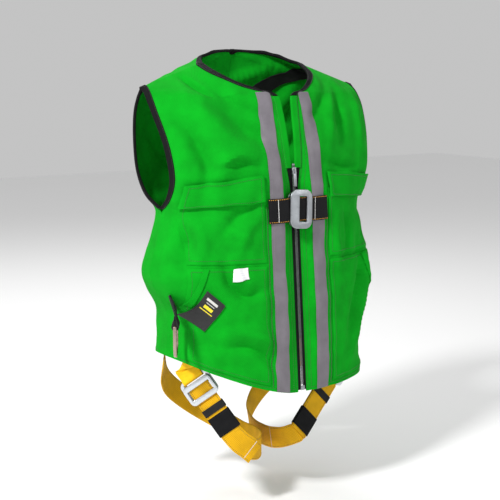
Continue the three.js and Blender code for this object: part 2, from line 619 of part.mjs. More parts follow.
// A webbing tab sewn round a bar: an eye with a doubled stem rising from it.
function webEye(rise, width, bore) {
  const outer = bore + EYE_WALL;
  const shape = new THREE.Shape();
  const lap = Math.asin(WEB_THICK / outer);
  shape.moveTo(WEB_THICK, rise);
  shape.lineTo(-WEB_THICK, rise);
  shape.absarc(0, 0, outer, Math.PI / 2 + lap, 2.5 * Math.PI - lap);
  shape.closePath();
  shape.holes.push(new THREE.Path().absarc(0, 0, bore, 0, 2 * Math.PI));
  const tab = new THREE.ExtrudeGeometry(shape, { depth: width, bevelEnabled: false, curveSegments: 10 });
  tab.translate(0, 0, -width / 2);
  tab.rotateX(Math.PI / 2);
  return tab.rotateZ(Math.PI / 2);
}

// Webbing that comes down a run of points, folds round a bar and is sewn back onto itself.
// run: [point, across] pairs ending above the bar; across: the bar's direction; tuck: length sewn back.
function foldedWeb(run, eye, up, across, bore, width, tuck) {
  const out = across.clone().cross(up).normalize();
  const radius = bore + WEB_THICK / 2;
  const ply = WEB_THICK / 2 + 0.15;
  const spot = (rise, aside) => eye.clone().addScaledVector(up, rise).addScaledVector(out, aside);
  const round = [55, 90, 125, 160, 200, 235, 270, 305].map((degrees) => {
    const a = (degrees * Math.PI) / 180;
    return spot(radius * Math.cos(a), radius * Math.sin(a));
  });
  const apex = radius * 1.9;
  const closing = [spot(apex, -ply), spot(apex + 3, -ply), spot(apex + tuck, -ply)];
  const last = [spot(apex + 3, ply), spot(apex, ply), ...round, ...closing];
  const points = [...run, ...last.map((p) => [p, across])];
  const stations = points.map(([at, wide], i) => {
    const before = points[Math.max(i - 1, 0)][0];
    const after = points[Math.min(i + 1, points.length - 1)][0];
    const along = after.clone().sub(before).normalize();
    const side = wide.clone().normalize();
    return { at, across: side, out: side.clone().cross(along).normalize() };
  });
  return sweep(stations, flatSection(width, WEB_THICK));
}

// The right ring stands out ahead of the side seam; the left one lies back along the seam.
// turn: angle of the ring's bar from X, seen from above. root: where the tab leaves the fabric.
// seat: middle of the tab's end above the fabric.
const SIDE_RINGS = {
  right: { at: V(236, -110, -426), turn: 0.98, root: atPlace(grids.front.right, 212, -396), seat: 1.4 },
  left: { at: V(239, 0, -430), turn: Math.PI / 2, root: atPlace(grids.back.left, 227, -378), seat: 3.2 },
};
for (const [name, side] of Object.entries(SIDES)) {
  const { at, turn, root, seat } = SIDE_RINGS[name];
  const centre = at.clone().multiply(V(side, 1, 1));
  const place = (geometry) => geometry.rotateZ(-side * turn).translate(...centre.toArray());
  add(`side_d_ring_${name}`, place(ringPlate()), "steel");

  // The right tab leaves the fabric along the pocket's slit and turns until it lies along the bar.
  const bar = V(Math.cos(turn), -side * Math.sin(turn), 0);
  const start = raised(root, seat);
  const barAlong = bar.clone().multiplyScalar(-side);
  const slit = side < 0 ? V(0, 0, 1).addScaledVector(root.n, -root.n.z).normalize() : barAlong;
  const path = new THREE.CatmullRomCurve3(
    [start, raised(root, 7), centre.clone().add(V(0, 0, 30)), centre.clone().add(V(0, 0, 18))],
    false,
    "centripetal",
  );
  const run = Array.from({ length: 6 }, (_, i) => [path.getPointAt(i / 6), slit.clone().lerp(barAlong, i / 5)]);
  add(`hip_strap_${name}`, foldedWeb(run, centre, UP, barAlong, EYE_BORE, TAB_WIDTH, 6), "black");
}

// The dorsal D-ring hangs from a tab on a plate between the shoulder blades.
const DORSAL_Z = -70;
const DORSAL_GAP = 0.4;
const backFace = (z) => atPlace(grids.back.left, 0, z).p.y;
const plateTop = DORSAL_Z + 34;
const plateFoot = DORSAL_Z - 56;
const plateY = Math.max(...[0, 0.25, 0.5, 0.75, 1].map((t) => backFace(lerp(plateFoot, plateTop, t)))) + LAY_GAP;
const dorsalPlate = new THREE.ExtrudeGeometry(roundedRect(84, plateTop - plateFoot, 16), {
  depth: 5,
  bevelEnabled: false,
  curveSegments: 4,
});
dorsalPlate.rotateX(Math.PI / 2).translate(0, plateY + 5, (plateTop + plateFoot) / 2);
add("dorsal_plate", dorsalPlate, "black");
const ringY = plateY + 5 + DORSAL_GAP + EYE_BORE + EYE_WALL;
add("dorsal_d_ring", ringPlate().translate(0, ringY, DORSAL_Z), "steel");
add("dorsal_strap", webEye(22, TAB_WIDTH, EYE_BORE).translate(0, ringY, DORSAL_Z), "black");

// ---------------------------------------------------------------- harness webbing inside the vest
// Ribbon of webbing under the fabric through [grid, rows, level, x] stations.
function liningRibbon(stations) {
  const half = WEB_WIDTH / 2;
  const places = stations.map(([grid, rows, v, x]) => {
    const r = rowIndex(rows, v);
    return [x - half, x, x + half].map((at) => onGrid(grid, r, columnAt(grid, r, at)));
  });
  return layer(places, -FABRIC - LINING_GAP - WEB_THICK, WEB_THICK);
}

// Linear lookup in a list of [level, x].
function along(list, v) {
  const k = Math.max(1, list.findIndex(([level]) => level >= v));
  const [[v0, x0], [v1, x1]] = [list[k - 1], list[k]];
  return lerp(x0, x1, (v - v0) / (v1 - v0));
}
const FRONT_RUN = [[0.5, 128], [4, 112], [6, 100], [8, 104], [10, 132], [12, 168], [15, 176]];
const BACK_RUN = [[9.4, 27], [10, 58], [11.3, 118], [12, 140], [13, 160], [15, 176]];
const SEAT_RUN = [[0.7, 132], [3.5, 104], [6, 72], [8.7, 27]];
for (const name of Object.keys(SIDES)) {
  const [front, back] = [grids.front[name], grids.back[name]];
  const up = FRONT_ROWS.filter((v) => v >= 0.5).map((v) => [front, FRONT_ROWS, v, along(FRONT_RUN, v)]);
  const down = BACK_ROWS.filter((v) => v >= 9.4 && v < TOP).reverse();
  const over = down.map((v) => [back, BACK_ROWS, v, along(BACK_RUN, v)]);
  add(`shoulder_strap_${name}`, liningRibbon([...up, ...over]), "black");
  const seat = BACK_ROWS.filter((v) => v >= 0.7 && v <= 8.7).map((v) => [back, BACK_ROWS, v, along(SEAT_RUN, v)]);
  add(`back_strap_${name}`, liningRibbon(seat), "black");
}

// ---------------------------------------------------------------- leg straps
// Each loop starts straight at its buckle, rounds the inner thigh and climbs behind to the seat.
const LEGS = {
  right: {
    buckle: V(167, -79, -560),
    band: V(134, -110, -622),
    rest: [[99, -130, -669], [68, -119, -683], [36, -88, -688], [16, -42, -690]],
    tip: [85, -139, -684],
    keeper: 45,
    hip: [182, -68, -520],
    hem: [186, -470],
  },
  left: {
    buckle: V(142, -88, -565),
    band: V(48, -112, -650),
    keeper: 62,
    rest: [[15, -102, -677], [9, -66, -688], [10, -28, -692]],
    hip: [142, -82, -514],
    hem: [168, -455],
  },
};
const BEHIND = [[16, 15, -690], [36, 62, -674], [82, 90, -640], [132, 84, -600], [164, 58, -566], [178, 36, -532]];
const THIGH = V(92, -30, 0); // the thigh's axis
const SLEEVE_WALL = 1.3;
const TAIL_LIFT = WEB_THICK + 0.6;
const STACK = WEB_THICK + TAIL_LIFT;
const HIP_SEAT = 2.8; // middle of the hip end of a leg's webbing, behind the fabric
const LINK_BORE = 3.95; // radius of the webbing eye round a leg buckle's link
const EYE_UP = 23.75; // leg buckle: centre of the link's top bar above the buckle's centre

const thighNormal = (p) => V(p.x - THIGH.x, p.y - THIGH.y, 0).normalize();
function station(at, direction, out) {
  const n = out.clone().addScaledVector(direction, -out.dot(direction)).normalize();
  return { at, across: direction.clone().cross(n).normalize(), out: n };
}
const moved = (s, lift) => ({ ...s, at: s.at.clone().addScaledVector(s.out, lift) });
const mirrored = (s, side) => {
  const flip = (v) => V(side * v.x, v.y, v.z);
  return { at: flip(s.at), across: flip(s.across), out: flip(s.out) };
};

// A hollow rectangular sleeve through the stations.
function sleeve(stations, width, thick, wall) {
  const outer = flatSection(width + 2 * wall, thick + 2 * wall);
  const inner = flatSection(width, thick);
  const place = (s, [a, b]) => s.at.clone().addScaledVector(s.across, a).addScaledVector(s.out, b);
  const rows = stations.map((s) => [outer, inner].map((loop) => loop.map((q) => place(s, q))));
  const points = rows.flat(2);
  const at = (i, loop, k) => (i * 2 + loop) * 4 + (k % 4);
  const faces = [];
  const quad = (a, b, c, d) => faces.push(a, b, c, a, c, d);
  for (let k = 0; k < 4; k++) {
    for (let i = 0; i < rows.length - 1; i++) {
      quad(at(i, 0, k), at(i, 0, k + 1), at(i + 1, 0, k + 1), at(i + 1, 0, k));
      quad(at(i, 1, k), at(i + 1, 1, k), at(i + 1, 1, k + 1), at(i, 1, k + 1));
    }
    const end = rows.length - 1;
    quad(at(0, 0, k), at(0, 1, k), at(0, 1, k + 1), at(0, 0, k + 1));
    quad(at(end, 0, k), at(end, 0, k + 1), at(end, 1, k + 1), at(end, 1, k));
  }
  const geometry = new THREE.BufferGeometry();
  geometry.setAttribute("position", new THREE.Float32BufferAttribute(points.flatMap((p) => p.toArray()), 3));
  geometry.setIndex(faces);
  return facingOut(geometry);
}

for (const [name, leg] of Object.entries(LEGS)) {
  const side = SIDES[name];
  const down = leg.band.clone().sub(leg.buckle).normalize();
  const reach = leg.band.distanceTo(leg.buckle);
  const out = station(leg.buckle, down, thighNormal(leg.buckle.clone().lerp(leg.band, 0.6))).out;
  const onLine = (d) => station(leg.buckle.clone().addScaledVector(down, d), down, out);
  const straightEnd = reach + 28;
  const straight = [-8, 12, 30, 31, reach - 20, reach, reach + 20].map(onLine);
  const rest = [...leg.rest, ...BEHIND].map((p) => V(...p));
  const bend = [onLine(straightEnd).at, ...rest];
  const curve = new THREE.CatmullRomCurve3(bend, false, "centripetal");
  const round = Array.from({ length: LEG_STEPS + 1 }, (_, i) => {
    const p = curve.getPointAt(i / LEG_STEPS);
    const blend = smooth(i / 6);
    return station(p, curve.getTangentAt(i / LEG_STEPS), out.clone().lerp(thighNormal(p), blend));
  });
  const loop = [...straight, ...round].map((s) => mirrored(s, side));
  add(`leg_strap_${name}`, sweep(loop, flatSection(WEB_WIDTH - 2, WEB_THICK)), "yellow");

  const held = [27, reach - 20, reach, reach + 20, reach + 26].map((d) => moved(onLine(d), TAIL_LIFT));
  const free = leg.tip ? [moved(round[1], TAIL_LIFT + 1.5), moved(round[2], TAIL_LIFT + 5)] : [];
  if (leg.tip) {
    const end = V(...leg.tip);
    free.push(station(end, end.clone().sub(free[1].at).normalize(), thighNormal(end)));
  }
  const tail = [...held, ...free].map((s) => mirrored(s, side));
  add(`leg_tail_${name}`, sweep(tail, flatSection(WEB_WIDTH - 2, WEB_THICK)), "yellow");

  const around = (d0, d1) => [d0, d1].map((d) => mirrored(moved(onLine(d), TAIL_LIFT / 2), side));
  const bore = [WEB_WIDTH - 1, STACK + 0.8];
  add(`leg_keeper_${name}`, sleeve(around(leg.keeper - 7, leg.keeper + 7), ...bore, SLEEVE_WALL), "black");
  add(`leg_band_${name}`, sleeve(around(reach - 20, reach + 20), ...bore, SLEEVE_WALL), "black");

  const plate = (width, height, corner, slots, d, lift) => {
    const shape = roundedRect(width, height, corner);
    shape.holes.push(...slots.map(([sy, sw, sh]) => rect(sw, sh, 0, sy)));
    const body = new THREE.ExtrudeGeometry(shape, { depth: PLATE, bevelEnabled: false, curveSegments: 3 });
    body.translate(0, 0, -PLATE / 2);
    return seat(body, d, lift);
  };
  // Moves a body from its own axes (X across, Y up the strap, Z outward) to distance d down the strap.
  const seat = (body, d, lift) => {
    const s = onLine(d);
    const up = down.clone().negate();
    const basis = new THREE.Matrix4().makeBasis(up.clone().cross(s.out), up, s.out);
    body.applyMatrix4(basis.setPosition(moved(s, lift).at));
    body.applyMatrix4(new THREE.Matrix4().makeScale(side, 1, 1));
    return side < 0 ? flipped(body) : body;
  };
  const LINK_LIFT = -PLATE_STEP / 2;
  add(`leg_buckle_link_${name}`, plate(62, 50, 11, [[13, 47, 11], [-7, 47, 13]], -2, LINK_LIFT), "bright");
  add(`leg_buckle_frame_${name}`, plate(60, 40, 9, [[0, 47, 19]], 3, PLATE_STEP / 2), "bright");
  const lining = atPlace(grids.front[name], ...leg.hem);
  const mirror = V(side, 1, 1);
  const inward = lining.n.clone().multiply(mirror);
  const top = raised(lining, -FABRIC - HIP_SEAT).multiply(mirror);
  const link = moved(onLine(-EYE_UP), LINK_LIFT);
  const rise = (d) => link.at.clone().addScaledVector(down, -d);
  const knots = [top, V(...leg.hip), rise(26), rise(14)];
  const line = new THREE.CatmullRomCurve3(knots, false, "centripetal");
  const topAcross = inward.clone().cross(V(0, 0, -1)).normalize();
  const run = Array.from({ length: 8 }, (_, i) => {
    const wide = topAcross.clone().multiplyScalar(Math.sign(topAcross.dot(link.across)));
    return [line.getPoint(i / 8), wide.lerp(link.across, smooth(i / 6))];
  });
  const upper = foldedWeb(run, link.at, down.clone().negate(), link.across, LINK_BORE, WEB_WIDTH - 3, 10);
  const placed = upper.applyMatrix4(new THREE.Matrix4().makeScale(side, 1, 1));
  add(`leg_upper_strap_${name}`, side < 0 ? flipped(placed) : placed, "yellow");
}

// Reverses every face, for a body that has just been mirrored.
function flipped(geometry) {
  const bare = mergeVertices(geometry.index ? geometry.toNonIndexed() : geometry, 1e-4);
  const { array } = bare.index;
  for (let k = 0; k < array.length; k += 3) {
    [array[k + 1], array[k + 2]] = [array[k + 2], array[k + 1]];
  }
  return bare;
}

// ---------------------------------------------------------------- label and size tag
// A patch with corners given as [x, z] on the vest's front, clear of the pocket beneath it.
function patch(name, corners, lift, thick, steps) {
  const grid = grids.front[name];
  const [a, b, c, d] = corners.map(([x, z]) => new THREE.Vector2(x, z));
  const places = Array.from({ length: steps + 1 }, (_, i) =>
    Array.from({ length: steps + 1 }, (_, j) => {
      const top = a.clone().lerp(b, j / steps);
      const foot = d.clone().lerp(c, j / steps);
      const q = top.lerp(foot, i / steps);
      return atPlace(grid, q.x, q.y);
    }),
  );
  return layer(places, lift, thick);
}
const ON_POCKET = 2 * LAY_GAP + POCKET_THICK;
const labelCorners = [[179, -366], [151, -394], [176, -444], [202, -416]];
add("label_patch", patch("right", labelCorners, ON_POCKET + 1.2, LABEL_THICK, 4), "label");
const tagCorners = [[135, -330], [110, -328], [110, -350], [135, -351]];
add("size_tag", patch("right", tagCorners, ON_POCKET, 0.8, 3), "tag");
for (const name of Object.keys(SIDES)) {
  const welt = [[178, -330], [184, -328], [209, -394], [202, -398]];
  add(`pocket_welt_${name}`, patch(name, welt, ON_POCKET + 1, 1.6, 6), "mesh");
}

export default vest;
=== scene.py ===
"""The looks of a safety harness vest: a hi-vis zip vest worn over a full-body fall-arrest harness.

Shapes are worked out in millimetres and scaled to metres when a mesh is made. +Z is up, the wearer
faces -Y and the wearer's left hand is on +X. The fabric follows the same form as the CAD panels, with
soft folds added, and everything sewn onto it is laid over that folded face.
"""

import math

import bpy
import bmesh
import numpy as np
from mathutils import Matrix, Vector


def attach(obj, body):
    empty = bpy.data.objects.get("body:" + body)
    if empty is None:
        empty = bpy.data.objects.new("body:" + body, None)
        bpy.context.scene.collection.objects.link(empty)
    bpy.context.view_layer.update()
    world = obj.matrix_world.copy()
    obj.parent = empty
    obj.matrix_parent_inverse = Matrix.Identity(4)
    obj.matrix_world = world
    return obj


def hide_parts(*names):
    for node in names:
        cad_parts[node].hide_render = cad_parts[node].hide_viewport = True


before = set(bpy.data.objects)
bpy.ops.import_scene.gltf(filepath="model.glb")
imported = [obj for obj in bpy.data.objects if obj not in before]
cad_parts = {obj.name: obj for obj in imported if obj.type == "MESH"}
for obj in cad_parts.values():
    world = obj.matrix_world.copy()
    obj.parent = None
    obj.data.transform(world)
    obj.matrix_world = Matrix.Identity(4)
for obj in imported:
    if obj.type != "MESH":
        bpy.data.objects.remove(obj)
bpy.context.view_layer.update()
scene = bpy.context.scene
MM = 0.001
SIDES = {"right": -1, "left": 1}

# ------------------------------------------------------------------ driving sizes, in millimetres
HALF_SHOULDER = 241
HALF_CHEST = 212
HALF_WAIST = 238
HALF_HEM = 206
HEM_Z = -570
HEM_HITCH = 58
SIDE_Y = -21
ZIP_TOP_Z = -146
ZIP_TOP_Y = -138
ZIP_FOOT_Y = -172
BACK_CHEST_Y = 90
BACK_SEAT_Y = 126
FABRIC = 2.2
SEWN_GAP = 0.8
PLACKET_EDGE = 9.5
BIND_WIDTH = 12  # the part of a binding that stands past the fabric
BIND_LAP = 3  # how far its faces reach back over the fabric
BIND_THICK = 5.6
TAPE_X = 46
TAPE_WIDTH = 28
TAPE_THICK = 0.8
POCKET_IN_X = 72
POCKET_OUT_X = 206
POCKET_INSET = 8
POCKET_THICK = 1.8
FLAP_THICK = 2.4
ON_POCKET = 2 * SEWN_GAP + POCKET_THICK + 0.4
WEB_WIDTH = 45
WEB_THICK = 2.2
BELT_Z = -230
TOOTH_PITCH = 2.6
HEM_STITCH = 0.16  # level of the hem's topstitching
ON_CLOTH = 0.2  # how far thread sits off the cloth
SIDE_TOP, V_FOOT, COLLAR_FOOT, BACK_NECK, TOP = 6, 7.8, 10.9, 12, 15  # levels of the form


# ------------------------------------------------------------------ small helpers
def lerp(a, b, t):
    return a + (b - a) * t


def smooth(t):
    t = np.clip(t, 0, 1)
    return t * t * (3 - 2 * t)


def unit(v):
    v = np.asarray(v, float)
    return v / np.maximum(np.linalg.norm(v, axis=-1, keepdims=True), 1e-9)


def catmull(points, count):
    """count points along a centripetal Catmull-Rom curve through the given ones."""
    p = np.asarray(points, float)
    p = np.vstack([2 * p[0] - p[1], p, 2 * p[-1] - p[-2]])
    chord = np.maximum(np.linalg.norm(np.diff(p, axis=0), axis=1), 1e-6) ** 0.5
    knots = np.concatenate([[0], np.cumsum(chord)])
    dense = []
    for k in range(1, len(p) - 2):
        t0, t1, t2, t3 = knots[k - 1 : k + 3]
        t = np.linspace(t1, t2, 25)[:, None]
        a1 = (t1 - t) / (t1 - t0) * p[k - 1] + (t - t0) / (t1 - t0) * p[k]
        a2 = (t2 - t) / (t2 - t1) * p[k] + (t - t1) / (t2 - t1) * p[k + 1]
        a3 = (t3 - t) / (t3 - t2) * p[k + 1] + (t - t2) / (t3 - t2) * p[k + 2]
        b1 = (t2 - t) / (t2 - t0) * a1 + (t - t0) / (t2 - t0) * a2
        b2 = (t3 - t) / (t3 - t1) * a2 + (t - t1) / (t3 - t1) * a3
        dense.append((t2 - t) / (t2 - t1) * b1 + (t - t1) / (t2 - t1) * b2)
    line = np.vstack([d if k == 0 else d[1:] for k, d in enumerate(dense)])
    return resampled(line, count)


def resampled(line, count):
    """The same line with evenly spaced points."""
    steps = np.linalg.norm(np.diff(line, axis=0), axis=1)
    reach = np.concatenate([[0], np.cumsum(steps)])
    at = np.linspace(0, reach[-1], count)
    return np.stack([np.interp(at, reach, line[:, k]) for k in range(line.shape[1])], axis=1)


# ------------------------------------------------------------------ the vest's form
def zip_y(z):
    return lerp(ZIP_TOP_Y, ZIP_FOOT_Y, (ZIP_TOP_Z - z) / (ZIP_TOP_Z - HEM_Z))


# One row a level from hem to shoulder: inner edge, outer edge, squareness, puff ahead of the zip.
FRONT = np.array([
    [PLACKET_EDGE, zip_y(HEM_Z), HEM_Z, HALF_HEM, SIDE_Y, -562, 0.8, 3],
    [PLACKET_EDGE, zip_y(-510), -510, HALF_HEM - 4, SIDE_Y, -505, 0.8, 7],
    [PLACKET_EDGE, zip_y(-450), -450, HALF_HEM - 2, SIDE_Y, -446, 0.82, 10],
    [PLACKET_EDGE, zip_y(-395), -395, HALF_WAIST - 12, SIDE_Y, -393, 0.85, 10],
    [PLACKET_EDGE, zip_y(-345), -345, HALF_WAIST, SIDE_Y, -345, 0.88, 9],
    [PLACKET_EDGE, zip_y(-285), -285, HALF_CHEST + 10, SIDE_Y, -287, 0.9, 9],
    [PLACKET_EDGE, zip_y(-228), -228, HALF_CHEST, SIDE_Y, -238, 0.92, 11],
    [PLACKET_EDGE, zip_y(-190), -190, HALF_CHEST + 2, -58, -206, 1.05, 12],
    [16.4, ZIP_TOP_Y, ZIP_TOP_Z, HALF_CHEST + 6, -80, -166, 1.15, 9],
    [19, -131, -102, HALF_SHOULDER - 16, -72, -108, 1.25, 6],
    [22, -119, -52, HALF_SHOULDER - 8, -48, -54, 1.35, 3],
    [28, -109, -22, HALF_SHOULDER - 7, -31, -28, 1.45, 0],
    [58, -96, -14, HALF_SHOULDER - 8, -21, -17, 1.55, 0],
    [92, -70, 2, HALF_SHOULDER - 9, -13, -11, 1.7, 0],
    [114, -38, 17, HALF_SHOULDER - 10, -6, -7, 1.85, 0],
    [120, 0, 32, HALF_SHOULDER - 10, 0, -5, 2, 0],
], float)
BACK = np.array([
    [0, BACK_SEAT_Y, -540, HALF_HEM, SIDE_Y, -562, 0.85, 0],
    [0, BACK_SEAT_Y + 2, -495, HALF_HEM - 4, SIDE_Y, -505, 0.85, 0],
    [0, BACK_SEAT_Y - 2, -446, HALF_HEM - 2, SIDE_Y, -446, 0.85, 0],
    [0, BACK_SEAT_Y - 11, -395, HALF_WAIST - 12, SIDE_Y, -393, 0.84, 0],
    [0, BACK_SEAT_Y - 20, -345, HALF_WAIST, SIDE_Y, -345, 0.84, 0],
    [0, BACK_CHEST_Y + 6, -285, HALF_CHEST + 10, SIDE_Y, -287, 0.86, 0],
    [0, BACK_CHEST_Y, -228, HALF_CHEST, SIDE_Y, -238, 0.9, 0],
    [0, BACK_CHEST_Y + 3, -178, HALF_CHEST + 4, 30, -206, 1.1, 0],
    [0, BACK_CHEST_Y + 6, -128, HALF_CHEST + 14, 44, -160, 1.2, 0],
    [0, BACK_CHEST_Y + 5, -76, HALF_SHOULDER - 9, 42, -100, 1.25, 0],
    [0, BACK_CHEST_Y - 1, -24, HALF_SHOULDER - 5, 31, -54, 1.3, 0],
    [0, BACK_CHEST_Y - 12, 24, HALF_SHOULDER - 6, 20, -27, 1.35, 0],
    [0, BACK_CHEST_Y - 22, 55, HALF_SHOULDER - 8, 13, -16, 1.45, 0],
    [60, BACK_CHEST_Y - 32, 54, HALF_SHOULDER - 9, 8, -10, 1.6, 0],
    [98, 34, 44, HALF_SHOULDER - 10, 3, -6, 1.8, 0],
    [120, 0, 32, HALF_SHOULDER - 10, 0, -5, 2, 0],
], float)


def level_at(levels, v):
    """Levels between the listed ones, by Catmull-Rom. v may be an array."""
    v = np.clip(np.asarray(v, float), 0, TOP)
    i = np.minimum(np.floor(v).astype(int), TOP - 1)
    t = (v - i)[..., None]
    a, b, c, d = (levels[np.clip(i + k, 0, TOP)] for k in (-1, 0, 1, 2))
    mid = 0.5 * (2 * b + (c - a) * t + (2 * a - 5 * b + 4 * c - d) * t**2 + (3 * b - a - 3 * c + d) * t**3)
    mid[..., 4] = np.where(v <= SIDE_TOP, SIDE_Y, mid[..., 4])
    mid[..., 0] = np.maximum(mid[..., 0], 0)
    return mid


def plain_face(levels, side, x, v):
    """The unfolded face at level v, x from the centre plane, and how far across the panel that is."""
    s = level_at(levels, v)
    share = np.clip((x - s[..., 0]) / (s[..., 3] - s[..., 0]), 0, 1)
    hitch = HEM_HITCH * np.clip((345 + s[..., 5]) / (345 - 562), 0, 1) if side < 0 else 0
    ahead = s[..., 7] * (1 - smooth((x - s[..., 0]) / 26))
    bow = (1 - share ** (2 / s[..., 6])) ** (s[..., 6] / 2)
    y = s[..., 4] + (s[..., 1] - s[..., 7] - s[..., 4]) * bow + ahead
    rise = lerp(share**1.5, share, np.clip((v - 5) / 3, 0, 1))
    z = lerp(s[..., 2], s[..., 5] + hitch, rise)
    return np.stack([side * x, y, z], axis=-1), share


# Folds of the fabric: route as (x, z) points in the front or back view, half width, height.
# A negative height is a valley. x is negative on the wearer's right.
FRONT_FOLDS = [
    ([(-134, 4), (-112, -22), (-78, -48), (-44, -66)], 13, -8),
    ([(-128, -34), (-104, -62), (-70, -92), (-40, -112)], 20, -12),
    ([(-186, -18), (-158, -60), (-120, -104), (-70, -132)], 17, 7),
    ([(-206, -60), (-184, -100), (-172, -144), (-176, -180)], 13, -9),
    ([(-152, -100), (-140, -134), (-150, -170)], 17, 6),
    ([(-80, -136), (-112, -130), (-150, -142)], 8, 5),
    ([(-76, -148), (-112, -144), (-156, -153)], 5, -3.5),
    ([(-166, 8), (-152, -8), (-136, -20)], 7, -7),
    ([(-210, -236), (-200, -280), (-214, -330)], 10, -9),
    ([(-186, -236), (-178, -284), (-190, -326)], 9, 6),
    ([(-90, -218), (-124, -240), (-150, -272)], 11, -6),
    ([(-82, -236), (-106, -264), (-118, -296)], 10, 5),
    ([(-160, -228), (-128, -262), (-88, -284)], 9, 4),
    ([(-152, -322), (-140, -362), (-112, -382), (-84, -374)], 9, -8),
    ([(-140, -316), (-124, -350), (-100, -362)], 8, 5),
    ([(-156, -452), (-118, -446), (-84, -460), (-56, -492)], 12, 7),
    ([(-150, -476), (-112, -474), (-80, -496), (-60, -524)], 9, -7),
    ([(-176, -470), (-170, -490), (-164, -510)], 8, 4),
    ([(-212, -440), (-200, -470), (-196, -496)], 5, -5),
    ([(134, 4), (112, -22), (80, -46), (50, -64)], 12, -7),
    ([(118, -30), (104, -64), (94, -104)], 14, 6),
    ([(150, -16), (134, -60), (128, -108)], 13, -8),
    ([(196, -30), (186, -76), (190, -134)], 14, 6),
    ([(74, -140), (110, -156), (160, -160)], 9, -6),
    ([(206, -220), (186, -258), (192, -304)], 9, -8),
    ([(96, -250), (90, -300), (98, -352)], 10, 5),
    ([(120, -236), (126, -290), (116, -320)], 9, -5),
    ([(158, -300), (166, -350), (150, -410), (120, -476)], 13, -9),
    ([(188, -330), (190, -392), (164, -452), (130, -516)], 13, 7),
    ([(200, -430), (194, -480), (174, -534)], 9, -8),
]
BACK_FOLDS = [
    ([(-122, 20), (-84, 24), (-40, 8), (0, 0), (40, 8), (84, 24), (122, 20)], 13, -6),
    ([(-150, 0), (-120, -50), (-70, -92)], 16, -8),
    ([(150, 0), (118, -52), (66, -96)], 16, -8),
    ([(-190, -90), (-150, -140), (-96, -170)], 15, 7),
    ([(188, -86), (148, -138), (92, -166)], 15, 7),
    ([(-60, -190), (-96, -250), (-110, -320)], 16, -8),
    ([(56, -186), (92, -252), (112, -330)], 16, -8),
    ([(-20, -210), (-24, -300), (-12, -400)], 15, 6),
    ([(24, -220), (30, -310), (40, -410)], 14, 5),
    ([(-190, -300), (-154, -360), (-160, -440), (-188, -500)], 15, -9),
    ([(-120, -360), (-116, -430), (-134, -500)], 13, 7),
    ([(184, -290), (152, -350), (158, -430), (184, -520)], 15, -9),
    ([(112, -350), (118, -430), (104, -520)], 14, 7),
    ([(-60, -380), (-70, -450), (-56, -530)], 13, -7),
    ([(64, -400), (54, -460), (66, -530)], 13, -7),
    ([(-206, -240), (-190, -290), (-210, -340)], 11, -7),
    ([(206, -236), (192, -286), (210, -340)], 11, -7),
]
FOLD_SAMPLES = 22
FOLD_DEPTH = 1.4  # all the listed heights are scaled by this
RIPPLES = [  # small all-over unevenness: direction across, direction up, period, height
    (0.83, 0.55, 61, 0.7),
    (-0.42, 0.9, 83, 0.9),
    (0.96, -0.2, 37, 0.35),
    (0.1, 1, 47, 0.4),
]


def fold_height(levels, points, v, share):
    """How far the folds push the face out at the given points."""
    x, z = points[..., 0], points[..., 2]
    total = np.zeros(x.shape)
    for route, width, height in FRONT_FOLDS if levels is FRONT else BACK_FOLDS:
        line = catmull(route, FOLD_SAMPLES)
        taper = np.sin(np.linspace(0.08, 0.92, FOLD_SAMPLES) * math.pi)
        away = (x[..., None] - line[:, 0]) ** 2 + (z[..., None] - line[:, 1]) ** 2
        total += FOLD_DEPTH * height * np.max(np.exp(-away / width**2) * taper, axis=-1)
    for across, up, period, height in RIPPLES:
        phase = 2 * math.pi * (across * x + up * z) / period
        total += height * np.sin(phase + 1.7 * np.sin(phase * 0.31 + 2))
    at_seam = smooth((1 - share) / 0.1) * smooth((TOP - v) / 0.9)
    at_zip = smooth((np.abs(x) - 14) / 26) if levels is FRONT else 1
    return total * at_seam * at_zip


def face(levels, side, x, v):
    """Points of the folded face."""
    x, v = np.broadcast_arrays(np.asarray(x, float), np.asarray(v, float))
    points, share = plain_face(levels, side, x, v)
    outward = plain_normal(levels, side, x, v)
    return points + outward * fold_height(levels, points, v, share)[..., None]


def crossed(across, up, levels, side):
    outward = side * (1 if levels is FRONT else -1)
    return unit(np.cross(across, up) * outward)


def plain_normal(levels, side, x, v):
    s = level_at(levels, v)
    x = np.clip(x, s[..., 0] + 2, s[..., 3] - 2)
    v = np.clip(v, 0.06, TOP - 0.06)
    across = plain_face(levels, side, x + 1.5, v)[0] - plain_face(levels, side, x - 1.5, v)[0]
    up = plain_face(levels, side, x, v + 0.05)[0] - plain_face(levels, side, x, v - 0.05)[0]
    return crossed(across, up, levels, side)


def places(levels, side, x, v):
    """Points and outward normals of the folded face."""
    x, v = np.broadcast_arrays(np.asarray(x, float), np.asarray(v, float))
    s = level_at(levels, v)
    inside = np.clip(x, s[..., 0] + 1, s[..., 3] - 1)
    level = np.clip(v, 0.05, TOP - 0.05)
    across = face(levels, side, inside + 1, level) - face(levels, side, inside - 1, level)
    up = face(levels, side, inside, level + 0.04) - face(levels, side, inside, level - 0.04)
    return face(levels, side, x, v), crossed(across, up, levels, side)


def outer_x(levels, v):
    return level_at(levels, v)[..., 3]


def inner_x(levels, v):
    return level_at(levels, v)[..., 0]


def pocket_x(v, share):
    """x at a share of the way across a pocket at level v."""
    return lerp(POCKET_IN_X, np.minimum(POCKET_OUT_X, outer_x(FRONT, v) - POCKET_INSET), share)


def level_of(levels, side, x, z):
    """The level whose face is at height z, x from the centre plane."""
    low, high = np.zeros(np.shape(z)), np.full(np.shape(z), float(TOP))
    for _ in range(26):
        middle = (low + high) / 2
        below = plain_face(levels, side, x, middle)[0][..., 2] < z
        low, high = np.where(below, middle, low), np.where(below, high, middle)
    return (low + high) / 2


